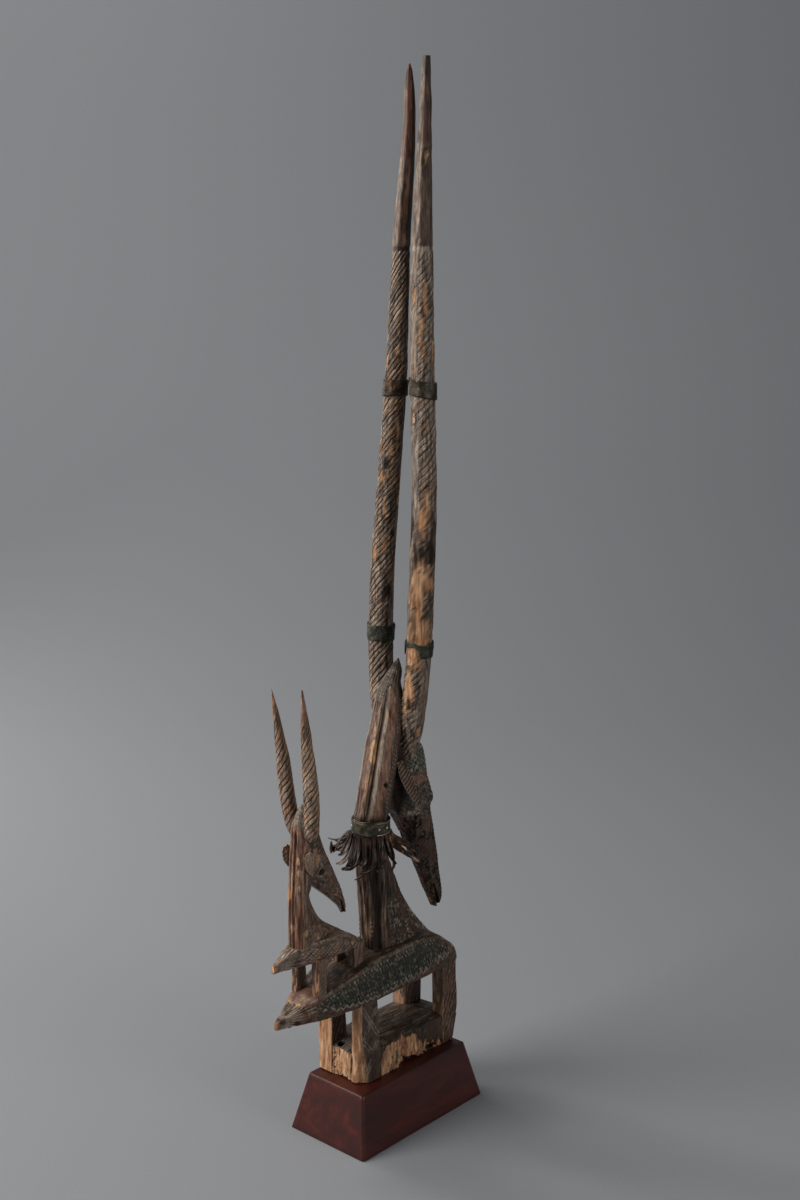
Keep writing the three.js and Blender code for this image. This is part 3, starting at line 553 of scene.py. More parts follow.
def mother_neck_relief(points, facing, form):
    """Flutes and polished strips behind, the blade's dotted green sides, and the crest's cap above its arch."""
    x, _, z = points.T
    turn, fold, over = neck_place(form)
    across = 0.3  # mm to a degree round the neck
    arch = 448 - 0.016 * (fold - 138) ** 2
    above = ease(z, 318, 326)  # the collar
    low = 1 - above
    fluted = ease(arch - z, -1, 1) * above
    streak = lumps(points, (1.9, 1.9, 42), 61, 3)
    patch = lumps(points, (7, 7, 12), 60, 2)
    mottle = lumps(points, (3, 3, 4), 68, 2)
    flute = bump_at(fold, 154, 4.5) * fluted + 0.8 * bump_at(fold, 127, 10) * low
    blade = ease(over, 0.06, 0.12) * ease(z, 240, 228)
    speck = ease(lumps(points, (1.8, 1.8, 1.8), 69, 2) + 0.5 * patch, 0.3, 0.6) * blade
    dotted = punched(z, (over - 0.09) * 40, 4.2, 2.6) * ease(z, 236, 228) * ease(z, 158, 164)
    dotted += punched(z, (fold - 90) * across, 4.2, 2.2) * fluted
    dotted += punched(z + 2, (fold - 80) * across, 4.2, 2.2) * fluted
    dotted *= ease(patch, -0.8, 0)
    rim = ease(over, 0.9, 0.97) * blade
    hatch = cut(nearest(z + 0.6 * x + patch, 7), 1.3) * blade * ease(patch, 0, 0.4)
    cap = ease(z - arch, 1, 2) * ease(z, 400, 410)
    dashes = cap * cut(nearest(z + 0.9 * x, 4.4), 2) * ease(nearest(fold, 20), 3, 6)
    arch_line = cut(z - arch, 1.8) * ease(z, 400, 412)
    strip_edge = (cut((fold - 163) * across, 1.3) + 0.7 * cut((fold - 131) * across, 1.3)) * fluted
    hole = ragged_spots(points, [(-13, -9.6, 352.8, 2.2, 1.8)], 63)
    beads = punched(z, (fold - 150) * across, 4.6, 3.6) * ease(z, 190, 197) * ease(z, 216, 210)
    pale_strip = ease(turn, 178, 182) * ease(201 - turn, -2, 2) * fluted
    spine = ease(fold, 161, 165) * fluted - pale_strip
    highlight = bump_at(fold, 138, 7) * fluted
    brown = ease(fold, 96, 102) * ease(fold, 134, 130) * fluted
    light_line = bump_at(fold, 98, 5) * low * (1 - blade)
    height = (-(0.8 - 0.4 * above) * np.abs(streak) - 0.6 * dotted - 0.6 * hatch - 0.7 * dashes - 0.8 * arch_line
              - 0.6 * strip_edge - 2.5 * hole + 1.6 * beads)
    broken = [(-17.5, 2.5, 384, 3, 13), (-4, -5, 418, 1.4, 9), (40, -12, 180, 3, 3), (28, -8, 186, 2, 3)]
    return height, {
        "cut": 0.8 * flute + 0.75 * ease(streak, 0.1, 0.5) * low * (1 - blade) + 0.4 * dashes * ease(mottle, -0.5, 0.2)
        + 0.7 * arch_line + 0.6 * strip_edge + hole + 0.45 * ease(streak, 0.2, 0.5) * above * (1 - highlight)
        + 0.28 * low * (1 - light_line) + 0.35 * blade * (1 - speck) + 0.2 * cap,
        "worn": 0.75 * highlight * (1 - cap) + 0.65 * pale_strip * ease(-streak, -0.6, 0.3)
        + 0.45 * brown * ease(-streak, -0.5, 0.3) + 0.65 * ease(-streak, -0.1, 0.4) * low * ease(fold, 142, 150)
        + 0.6 * light_line + 0.35 * rim + 0.15 * cap * ease(mottle, -0.3, 0.4) + 0.5 * ease(-streak, 0.1, 0.5) * low
        + (0.06 + 0.35 * spine * ease(-streak, -0.2, 0.5)) * fluted,
        "grey": 0.85 * dotted + 0.9 * highlight * ease(z, 320, 345) * ease(z, 440, 420) * ease(-streak, -0.7, 0.1)
        + 0.15 * cap * (1 - dashes) * ease(mottle, -0.2, 0.3) + 0.45 * hatch + 0.5 * rim * ease(patch, -0.2, 0.3)
        + 0.5 * blade * ease(mottle, 0.35, 0.5) + 0.55 * speck,
        "green": 0.75 * blade * ease(patch, -0.5, 0.1) + 0.25 * cap,
        "grain": (0.9 - 0.5 * above) * (1 - blade) * (1 - 0.6 * pale_strip),
        "red": 0.85 * brown + 0.6 * spine + 0.6 * blade * ease(-patch, 0, 0.4) + 0.4 * light_line
        + 0.3 * low * ease(fold, 150, 160),
        "bare": 0.55 * pale_strip * ease(lumps(points, (2.2, 2.2, 30), 64, 2), 0.1, 0.35)
        * ease(z, 330, 350) * ease(z, 425, 405) + ragged_spots(points, broken, 67),
    }


def fawn_neck_relief(points, facing, form):
    """One flute behind, two rows of dots, worn and bare streaks, and dashes on the crest's cap."""
    x, _, z = points.T
    _, fold, _ = neck_place(form)
    across = 0.19  # mm to a degree round the neck
    flute = bump_at(fold, 167, 6) * ease(z, 333, 328)
    streak = lumps(points, (1.3, 1.3, 24), 71, 3)
    dotted = punched(z, (fold - 62) * across, 4.2, 2.2) * ease(z, 250, 244)
    dotted += punched(z + 2, (fold - 78) * across, 4.2, 2) * ease(z, 244, 238)
    cap = ease(z, 334, 337)
    dashes = cap * cut(nearest(z + 0.5 * x, 4), 1.8) * ease(nearest(fold, 20), 4, 7)
    spots = [(-124.8, 10.4, 267.7, 2.4, 6), (-127.4, 5.7, 236.8, 2, 5), (-121.9, 0.7, 303, 2.2, 4),
             (-123.2, 0, 278, 1.6, 5), (-118, -5, 232, 2.2, 3), (-123, 0, 292, 1.4, 5)]
    return -0.6 * flute - 0.4 * np.abs(streak) - 0.6 * dotted - 0.6 * dashes, {
        "cut": 0.3 * flute + 0.25 * ease(streak, 0.2, 0.6) + 0.5 * dashes,
        "worn": 0.8 * ease(-streak, -0.4, 0.3) + 0.3 * ease(fold, 172, 178),
        "bare": 0.9 * ragged_spots(points, spots, 72)
        + 0.45 * ease(fold, 168, 175) * ease(lumps(points, (2, 2, 16), 73), 0.2, 0.6),
        "grey": 0.7 * dotted + 0.4 * cap,
        "green": 0.5 * cap,
        "red": 0.75 * ease(fold, 110, 140) + 0.55 * ease(lumps(points, (8, 8, 12), 74), 0, 0.5),
        "grain": 0.6,
    }


# Heads and ears.
def head_rings(animal):
    """Sections of a head from its muzzle up to its brow, each with a rounded face plane in front."""
    rings = []
    for z, rear, wide, front, rear_half, wide_half, front_half in animal["head"][::-1]:
        rings.append([(front + 1.2, 0, z), (front, front_half, z), (wide, wide_half, z), (rear, rear_half, z),
                      (rear, -rear_half, z), (wide, -wide_half, z), (front, -front_half, z)])
    return finer_along(finer_round(np.array(rings, float), FINE, 1.4), FINE)


def open_mouth(form, mouth):
    """Presses the muzzle in along the slit between the lips, widest at the tip, and says how far for each point."""
    (x0, z0), (x1, z1), gap = mouth
    least, deep = 0.35, 0.85
    run = np.array([x1 - x0, z1 - z0])
    x, y, z = (form["points"] - FOOT).T
    along = ((x - x0) * run[0] + (z - z0) * run[1]) / np.dot(run, run)
    away = ((x - x0) * run[1] - (z - z0) * run[0]) / np.hypot(*run)
    half = gap * (1 - np.clip(along, 0, 1)) + least
    pressed = ease(half - np.abs(away), -0.5, 0.3) * ease(1.02 - along, 0, 0.04)
    form["points"][:, 1] = FOOT[1] + y * (1 - deep * pressed)
    return pressed


def mother_head_relief(points, facing, form):
    """Hatched cheeks and jaw, a red zigzag band, the dotted green brow above it and the horns' hatched roots."""
    x, _, z = points.T
    side = ease(np.abs(facing[:, 1]), 0.2, 0.5)
    pressed = form["pressed"]
    patch = lumps(points, (6, 6, 8), 80, 2)
    speck = ease(lumps(points, (1.9, 1.9, 1.9), 87, 2) + 0.5 * patch, 0.3, 0.55)
    jaw = ease(-facing[:, 0], -0.25, 0.1) * ease(z, 315, 300)  # the jaw's own facet
    hatch = cut(nearest(z * 0.85 + x * 0.5 + 0.5 * patch, 3.6), 1.4) * side * (1 - jaw)
    jaw_hatch = cut(nearest(z * 0.6 - x * 0.8 + 0.5 * patch, 4.2), 1.4) * jaw
    border = 377 + 0.45 * (x - 15)  # where the green forehead ends under the horns
    brow = ease(z, 352, 358) * ease(border - z, 0, 1.5)
    horn_root = ease(z - border, 0.5, 1.5)
    root_hatch = cut(nearest(z - 0.9 * x, 3.8), 1.7) * horn_root * side
    border_line = cut(z - border - 0.5, 2.6) * side
    face_edge = smooth_line([(190, 73), (250, 57), (300, 50), (330, 47), (350, 44)], z)
    edge_dots = punched(z, x - face_edge, 4.2, 2.4) * ease(z, 352, 346) * side
    field = punched(z + 0.5 * x, nearest(x - 0.4 * z, 4.6), 4.6, 2.4) * brow * side
    zigzag = cut(z - 347 - 4 * np.abs(2 * ((x / 7) % 1) - 1), 1.8) * side * ease(x, 24, 30)
    zigzag_ground = ease(z, 342, 345) * ease(z, 356, 353) * side
    brow_line = cut(z - 358 + 0.5 * (x - 30), 1.8) * side * ease(x, 20, 26)
    plain = (1 - zigzag_ground) * (1 - horn_root)
    grey_patch, eye_hollow, notch = (
        ragged_spots(points, [(spot_x, FOOT[1] - out, *rest), (spot_x, FOOT[1] + out, *rest)], seed)
        for spot_x, out, rest, seed in ((32, 14, (314, 8, 6), 81), (24, 16, (290, 12, 14), 82),
                                        (45, 10.4, (282, 4, 2.4), 86)))  # alike on both sides
    # Painted shade: the rear of the head and the eye hollow are dented and painted dark, as the deep shadow that falls
    # in them.
    hollow = np.maximum(ease(-x, -19, -11) * ease(z, 276, 292) * side, 0.8 * eye_hollow)
    # Painted highlight: lighter colour on the lower facets' edges, where the side turns towards the jaw, as where they
    # catch the light.
    lit_facet_edge = ease(facing[:, 0], 0.1, -0.15) * ease(facing[:, 0], -0.5, -0.2) * ease(z, 300, 290)
    brow_ridge = ease(z, 317, 321) * ease(z, 331, 326) * ease(facing[:, 0], 0.2, 0.6)
    height = (-0.35 * hatch - 0.35 * jaw_hatch - 0.6 * edge_dots - 0.6 * field - 0.8 * zigzag - 0.8 * brow_line
              + 0.8 * border_line - 0.5 * root_hatch + 0.9 * brow_ridge - 2.2 * hollow - 1.2 * notch)
    bare_edges = [(57, 9.5, 233, 2, 9), (50, 10, 247, 1.8, 6), (70, 5, 207, 1.6, 6), (76, 2, 200, 1.8, 4)]
    return height, {
        # cut also carries the hollows' painted shade, beside the soot in the cuts.
        "cut": 0.15 * hatch + 0.15 * jaw_hatch + 0.5 * zigzag + 0.6 * brow_line + 0.9 * pressed + 0.85 * hollow
        + 0.9 * notch + 0.5 * ease(patch, -0.1, 0.4) * (1 - speck) * plain + 0.5 * root_hatch
        + 0.25 * (1 - brow) * plain + 0.2 * ease(z, 300, 280) + 0.3 * jaw,
        "green": 0.95 * brow * (1 - hollow) + 0.75 * (1 - jaw) * ease(z, 343, 337) * ease(patch, -0.6, 0.2),
        "grey": (0.8 * edge_dots + 0.9 * field) * ease(patch, -0.6, 0) + 0.5 * grey_patch + 0.3 * hatch
        + 0.7 * speck * (0.45 * brow + 0.6 * grey_patch + 0.4 * (1 - jaw)) * (1 - hollow) + 0.4 * zigzag
        + 0.6 * lit_facet_edge * ease(patch, -0.5, 0.2),
        "bare": 0.8 * ragged_spots(points, bare_edges, 88),
        "red": zigzag_ground * (1 - zigzag) + 0.6 * border_line + 0.6 * jaw
        + 0.5 * ease(lumps(points, (9, 9, 14), 83), 0.1, 0.5),
        "worn": 0.3 * ease(lumps(points, (5, 5, 9), 84, 2), 0.2, 0.8)
        + 0.4 * ease(lumps(points, (1.5, 1.5, 8), 85), 0.4, 0.7) + 0.35 * jaw * ease(patch, 0, 0.6)
        + 0.4 * lit_facet_edge + 0.5 * horn_root * (1 - root_hatch) + 0.6 * border_line,
    }


def fawn_head_relief(points, facing, form):
    """A drilled eye with a raised lid, rows of dots over the muzzle and hatching between them."""
    x, _, z = points.T
    side = ease(np.abs(facing[:, 1]), 0.2, 0.5)
    eye_away = np.hypot(x + 96.4, z - 286.6)
    socket = ease(eye_away, 3.9, 2.6) * side
    lid = ease(np.abs(eye_away - 5.2), 1.5, 0.3) * side
    over_muzzle, along_muzzle = (z - 240) * 0.62 + (x + 66) * -0.78, z * 0.8 - x * 0.6
    rows = punched(along_muzzle, over_muzzle - 3, 3.6, 2.1) + punched(along_muzzle, over_muzzle + 5.5, 3.6, 2.1)
    rows *= side * ease(z, 284, 278)
    hatch = cut(nearest(z * 0.7 + x * 0.7, 3.8), 1.4) * side * ease(z, 272, 262)
    patch = lumps(points, (4, 4, 6), 91, 2)
    speck = ease(lumps(points, (1.6, 1.6, 1.6), 94, 2), 0.4, 0.7)
    return -2.4 * socket + 0.8 * lid - 0.5 * rows - 0.45 * hatch, {
        "cut": 0.95 * socket + 0.3 * hatch + 0.9 * form["pressed"] + 0.35 * ease(patch, 0, 0.7),
        "worn": 0.35 * lid + 0.5 * ease(patch, 0, 0.6),
        "grey": 0.7 * rows * ease(patch, -0.6, 0.1) + 0.4 * hatch + 0.6 * speck,
        "bare": 0.5 * ragged_spots(points, [(-84, -4, 262, 2.5, 5), (-106, -5, 310, 3, 4), (-102, -6, 301, 3, 5)], 92),
        "red": 0.4 * ease(lumps(points, (9, 9, 9), 93), 0, 0.5),
    }


def ear_ends(animal, side):
    """The root and the tip of an ear, and the direction that it runs in."""
    root, tip = (np.array([x, side * out, z], float) for x, out, z in animal["ear"][:2])
    return root, tip, (tip - root) / np.linalg.norm(tip - root)


def ear_rings(animal, side):
    """Sections of an ear, a flat leaf that hangs from its root."""
    (root, tip, run), (width, thick) = ear_ends(animal, side), animal["ear"][2:]
    flat = np.array([1.0, 0, 0]) - run * run[0]
    flat /= np.linalg.norm(flat)
    out = np.cross(run, flat)
    rings = []
    for down, spread in ((0, 0.45), (0.18, 0.9), (0.45, 1), (0.8, 0.55), (1, 0.06)):
        middle = root + (tip - root) * down
        across, through = flat * width / 2 * spread, out * thick / 2 * (0.3 + 0.7 * spread)
        rings.append([middle + across, middle + through, middle - across, middle - through])
    return finer_along(finer_round(np.array(rings), FINE, 1.0), FINE)


def ear_relief(animal, side):
    """Slanting ribs across the inside of an ear, within its rim."""
    root, _, run = ear_ends(animal, side)
    edge_light, shaded, rubbed = (0.4, 0.75, 0.4) if animal is MOTHER else (0.1, 0.1, 0.9)

    def relief(points, facing, form):
        along = (points - FOOT - root) @ run
        across = points[:, 0] - root[0] - along * run[0]
        ribs = cut(nearest(along * 0.95 + across * 0.28, 3.7), 1.5)
        rim = ease(np.abs(facing[:, 1]), 0.8, 0.55)
        inside = 1 - rim
        return -0.6 * ribs - 0.8 * inside, {
            "cut": shaded * inside * (1 - ribs),
            "worn": 0.6 * rim + rubbed,
            "grey": 0.4 * ribs * inside + edge_light * rim,
            "red": 0.5,
            "grain": 0.2,
        }

    return relief


# Horns.
def horn_place(animal, side, z):
    """The middle of a horn and its radius at heights above the foot."""
    horn = animal["horn"]
    share = (np.asarray(z, float) - horn["base"]) / horn["length"]
    x, out = smooth_line(horn["line"], share).T
    return x, side * out, straight_line(horn["left" if side > 0 else "right"], share)


def horn_form(animal, side, starts, lead, step, edge=None):
    """A horn whose points run up along its spiral grooves: that many of them, each once round in lead mm. Above them it
    may be whittled to facets, with an edge at that turn."""
    facet, flatness = 60, 0.92
    horn = animal["horn"]
    top = horn["left" if side > 0 else "right"][-1][0]
    share = np.append(np.arange(0, top, step / horn["length"]), top)
    z = horn["base"] + share * horn["length"]
    x, y, radius = horn_place(animal, side, z)
    degrees = even_turns(starts * 12)[None, :] + 360 * (z - horn["base"])[:, None] / lead
    turn = np.radians(degrees)
    reach = np.broadcast_to(radius[:, None], turn.shape)
    if edge is not None:
        flat = flatness / np.cos(np.radians((degrees - edge) % facet - facet / 2))
        reach = reach * (1 + (flat - 1) * ease(share, horn["spiral"], horn["spiral"] + 0.006)[:, None])
    rings = np.stack([x[:, None] + reach * np.cos(turn), y[:, None] + reach * np.sin(turn),
                      np.broadcast_to(z[:, None], turn.shape)], -1)
    return skin(rings, 2, 3)


def horn_facing(points, animal, side):
    """Height, degrees round the horn and share of its length for each point."""
    local = points - FOOT
    x, y, _ = horn_place(animal, side, local[:, 2])
    turn = np.degrees(np.arctan2(local[:, 1] - y, local[:, 0] - x)) % 360
    share = (local[:, 2] - animal["horn"]["base"]) / animal["horn"]["length"]
    return points[:, 2], turn, share


def ribbing(share, turn, horn, starts, lead):
    """The spiral carving: how high each rib stands, how deep in a groove and how near a rib's sharp upper edge, and
    places across and along the ribs in mm."""
    rib_width = 5.5
    winding = (turn / 360 - share * horn["length"] / lead) * starts
    phase = winding % 1
    groove = ease(np.minimum(phase, 1 - phase), 0.21, 0.04)
    rib = np.sin(math.pi * phase) ** 0.6 * (0.75 + 0.25 * phase)
    edge = ease(phase, 0.5, 0.7) * ease(phase, 0.9, 0.8)
    return rib, groove, edge, np.column_stack([winding * rib_width, share * horn["length"], 0 * share])


def turned_from(turn, middle):
    """Degrees from a middle one, either way, from -180 to 180."""
    return (turn - middle + 180) % 360 - 180


# Spots on the mother's horns (x, y, z, across, up), the left one's under 1 and the right one's under -1.
HORN_BARE = {
    1: [(30.8, 16.3, 763, 2, 9), (28.7, 25.8, 752, 1.8, 9), (30, 23, 797, 1.8, 5), (32.5, 15.2, 691, 2.2, 13),
        (28.5, 21, 684, 2, 9), (27, 20, 672, 1.8, 7), (22.8, 27.3, 645, 3, 8), (31, 17.8, 646, 2, 9),
        (26, 23, 650, 1.6, 7), (22.4, 24.4, 616, 2.2, 9), (25, 23, 610, 1.6, 7), (37.5, 19.9, 622, 3, 10),
        (21.1, 23.2, 580, 2, 7), (16.9, 32.5, 570, 3, 7)],
    -1: [(29, -8, 820, 2, 8), (33.4, -17.6, 816, 1.8, 15), (34, -18.5, 806, 2.4, 7), (30.6, -15.3, 790, 2, 8),
         (30.4, -15.5, 776, 2.2, 5), (31.3, -18.4, 769, 2.2, 6), (32.5, -21, 761, 2, 6), (26, -27, 628, 2, 14),
         (22.5, -24.9, 606, 3.6, 18), (27, -28, 612, 1.6, 9), (17.5, -27, 540, 14, 30), (15, -26.2, 500, 14, 22),
         (12.6, -22, 478, 8, 14), (10, -17, 445, 6, 24), (21.7, -23.2, 403, 3, 5), (25.5, -10.6, 704, 2, 5),
         (41.3, -20.9, 768, 1.8, 12), (42.7, -10.2, 944, 1.6, 8), (31, -10, 868, 2, 3)],
}
HORN_BURNT = {
    1: [(24, 24, 660, 3, 6), (30, 17, 590, 3, 6), (24, 22, 535, 4, 9)],
    -1: [(22.3, -28.3, 577, 15, 10), (20.4, -12, 602, 5, 26), (32, -30, 594, 5, 22), (21, -26, 596, 2, 12),
         (29, -30, 597, 2.2, 6), (13, -20, 466, 4, 4), (10, -17, 432, 2, 6)],
}
GREY_TONGUE = [(22.6, -31.4, 528, 5.5, 12)]  # a patch of the old surface left in the broken stretch


def mother_horn_relief(side, starts, lead):
    """Sharp spiral ribs up to a ring, a smooth whittled end above it, and on the right horn a long broken stretch."""
    horn, left = MOTHER["horn"], side > 0

    def relief(points, facing, form):
        z, turn, share = horn_facing(points, MOTHER, side)
        patch = lumps(points, (5, 5, 10), 100, 2)
        rib, groove, edge, rope = ribbing(share, turn + 6 * patch, horn, starts, lead)
        deeper = ease(lumps(rope, (4, 16, 9), 109, 2), -0.7, 0.5)
        groove = groove * (0.45 + 0.55 * deeper)
        shred = lumps(rope, (1.1, 9, 9), 110, 3)
        spiral = ease(horn["spiral"] - share, 0, 0.004)
        if left:
            rubbed = 0.6 * ease(lumps(points, (9, 9, 30), 101), 0.5, 0.8)
        else:  # rubbed smooth along one side, which is the outer one low down
            rubbed = 0.85 * ease(np.abs(turned_from(turn, np.where(z < 478, 290, 155)) + 9 * patch), 60, 40)
        fine_fibre = lumps(points, (1.5, 1.5, 11), 117, 2)
        bare = ragged_spots(points, HORN_BARE[side], 102) * (ease(fine_fibre, -0.35, -0.05) if left else 1)
        wider = [(x, y, up, across * 1.5, high * 1.3) for x, y, up, across, high in HORN_BARE[side]]
        halo = ragged_spots(points, wider, 102)
        flecks = ease(shred, 0.3, 0.5) * ease(lumps(points, (8, 8, 14), 103, 2), -0.1, 0.4)
        flecks *= ease(z, 530, 575) * ease(z, 735, 700)
        flecks += 0.8 * ease(lumps(rope, (2.2, 9, 9), 104, 3), 0.5, 0.65)
        bare = np.maximum(bare, np.clip(flecks, 0, 1) * spiral * (0.9 if left else 0.45) * (1 - groove))
        torn = (1 - bare) * halo
        burnt = ragged_spots(points, HORN_BURNT[side], 105)
        tongue = 0 if left else ragged_spots(points, GREY_TONGUE, 115)
        bare = bare * (1 - tongue)
        fibre = lumps(points, (1.4, 1.4, 22), 106, 3)
        eroded = ease(fibre, 0.05, 0.5)
        carved = spiral * (1 - rubbed) * (1 - 0.85 * bare) * (1 - 0.6 * burnt)
        crack = 0 if left else ease(lumps(points, (2.2, 2.2, 26), 116, 2), 0.3, 0.55) * ease(700 - z, 0, 60)
        broken_off = 0 if left else ease(540 - z, -20, 5)
        split = ease(np.abs(lumps(points, (2.6, 2.6, 34), 118, 2)), 0.1, 0.02) * bare * broken_off
        ring_line = cut(share - horn["spiral"], 0.009)
        tip = ease(share, 0.862, 0.868) if left else ease(share, 0.8805, 0.8865)
        polish = ease(lumps(points, (7, 7, 45), 108), -0.5, 0.5)
        smooth_part = 1 - spiral
        # Painted light and shade: the whittled facet turned towards the left softbox is painted lighter, the rest of
        # the smooth end darker.
        lit_facet = ease(np.abs(turned_from(turn, 156 if left else 166)), 44, 38)
        height = (carved * 1.25 * (rib - 1) * (0.5 + 0.5 * deeper) - bare * (0.5 + 0.9 * eroded) - 0.6 * ring_line
                  - 1.2 * split - 0.3 * np.abs(fibre) * (1 - carved) - 0.9 * burnt * eroded)
        return height, {
            "cut": carved * groove * (0.85 if left else 0.65) + 0.8 * split
            + 0.85 * burnt * (1 - 0.6 * ease(-fibre, 0, 0.4)) + 0.5 * bare * ease(fibre, 0.2, 0.6) + 0.5 * torn
            + 0.6 * crack * bare + 0.3 * tongue + 0.6 * ring_line * left
            + 0.5 * ease(fibre, 0.1, 0.6) * (1 - carved) * (1 - bare) + 0.15 * smooth_part * (1 - lit_facet)
            + 0.3 * carved * ease(shred, 0.2, 0.6),
            "worn": (0.4 + 0.55 * polish) * (1 - groove) * carved * (1 - ease(shred, 0.15, 0.5))
            + 0.7 * rubbed * spiral * polish + 0.5 * smooth_part * (0.4 + 0.6 * lit_facet) * (1 - tip)
            + 0.2 * smooth_part * ease(-fibre, 0.1, 0.5) + 0.4 * tongue,
            "grey": 0.6 * edge * carved * ease(patch, -0.6, 0.2) + 0.35 * rubbed * ease(patch, -0.2, 0.5)
            + 0.25 * smooth_part * lit_facet * (1 - tip) * ease(patch, -0.5, 0.3)
            + 0.5 * ease(-shred, 0.25, 0.55) * carved * (1 - groove)
            + (not left) * (0.9 * ring_line + 0.25 * spiral * (1 - bare)),
            "bare": bare,
            "grain": 1.0,
            "red": tip * (0.15 + (0.5 if left else 0.2) * ease(fibre, -0.1, 0.4)) + (0.3 if left else 0.1) * smooth_part
            + 0.15 * spiral * ease(-patch, 0, 0.5),
        }

    return relief


def fawn_horn_relief(side, starts, lead):
    """Softer spiral ribs that fade into a tan tip."""
    horn = FAWN["horn"]

    def relief(points, facing, form):
        _, turn, share = horn_facing(points, FAWN, side)
        patch = lumps(points, (4, 4, 7), 113, 2)
        rib, groove, edge, rope = ribbing(share, turn + 7 * patch, horn, starts, lead)
        deeper = ease(lumps(rope, (4, 12, 9), 114, 2), -0.6, 0.6)
        carved = ease(horn["spiral"] - share, -0.05, 0.1)
        shred = lumps(rope, (1.3, 7, 9), 111, 3)
        tan = ease(shred, 0.15, 0.45)
        tip = ease(share, 0.72, 0.85)
        fibre = lumps(points, (1.2, 1.2, 18), 112, 3)
        return carved * 1.1 * (rib - 1) * (0.3 + 0.7 * deeper) - 0.3 * np.abs(fibre), {
            "cut": carved * groove * (0.5 + 0.4 * deeper) + 0.3 * ease(fibre, 0.2, 0.6),
            "worn": 0.9 * (1 - groove) * carved * ease(-shred, -0.5, 0.1) + 0.4 * tip,
            "grey": 0.6 * edge * carved + 0.35 * carved * ease(patch, 0, 0.5),
            "bare": 0.7 * tan * (1 - groove) + 0.45 * tip * tan,
            "red": 0.55 * tip + 0.45 * carved,
            "grain": 0.7,
        }

    return relief


# The foot block.
BLOCK_REAR, BLOCK_FRONT, BLOCK_HEIGHT, DOME = -62.5, 74, 31, 3.4
BLOCK_TOP = [(-66, 28.6), (-36, 31), (30, 31.6), (58, 30), (84, 24)]  # x, height of its upper edge
BLOCK_OUTLINE = [
    (74, -30), (77, -12), (76, 12), (72, 24), (66, 30), (3.5, 30), (-62.5, 30), (-60.9, 21), (-62.5, 12.6),
    (-60.1, 1.8), (-61.5, -9), (-58.3, -18.6), (-55.5, -25.8), (-49.5, -30), (-17.5, -29), (-8.5, -29.4),
    (-0.5, -24), (9.5, -28), (21.5, -30), (35.5, -27.8),
]
BREAK_TOP = [(-46, 56), (-40, 72), (-31, 83), (-24, 87), (-12, 90), (-4, 90), (6, 87), (16, 84), (23, 74), (30, 70),
             (40, 71), (48, 66), (54, 71), (60, 64), (68, 61), (80, 56)]  # x, height of the old break on the right


def block_form():
    """The block's upright sides, which lean out at the front, and its slightly domed top."""
    ground = np.array([[(x, y, 0.0) for x, y in BLOCK_OUTLINE]])
    outline = finer_round(ground, FINE, 1.2)[0]
    edge = smooth_line(BLOCK_TOP, outline[:, 0])
    lean = ease(outline[:, 0], 20, 60) * 6
    rings = []
    for up in np.linspace(0, 1, int(BLOCK_HEIGHT / FINE)):
        rings.append(np.stack([outline[:, 0] + lean * up, outline[:, 1], edge * up], -1))
    rim = rings[-1]
    middle = np.stack([np.clip(rim[:, 0], BLOCK_REAR + 26, BLOCK_FRONT - 22), rim[:, 1] * 0], -1)
    for over in np.linspace(0, 0.98, int(30 / FINE))[1:]:
        flat = rim[:, :2] + (middle - rim[:, :2]) * over
        height = smooth_line(BLOCK_TOP, flat[:, 0]) + DOME * np.sin(np.minimum(over * 1.6, 1) * math.pi / 2)
        rings.append(np.column_stack([flat, height]))
    return skin(np.array(rings), 3, 2)


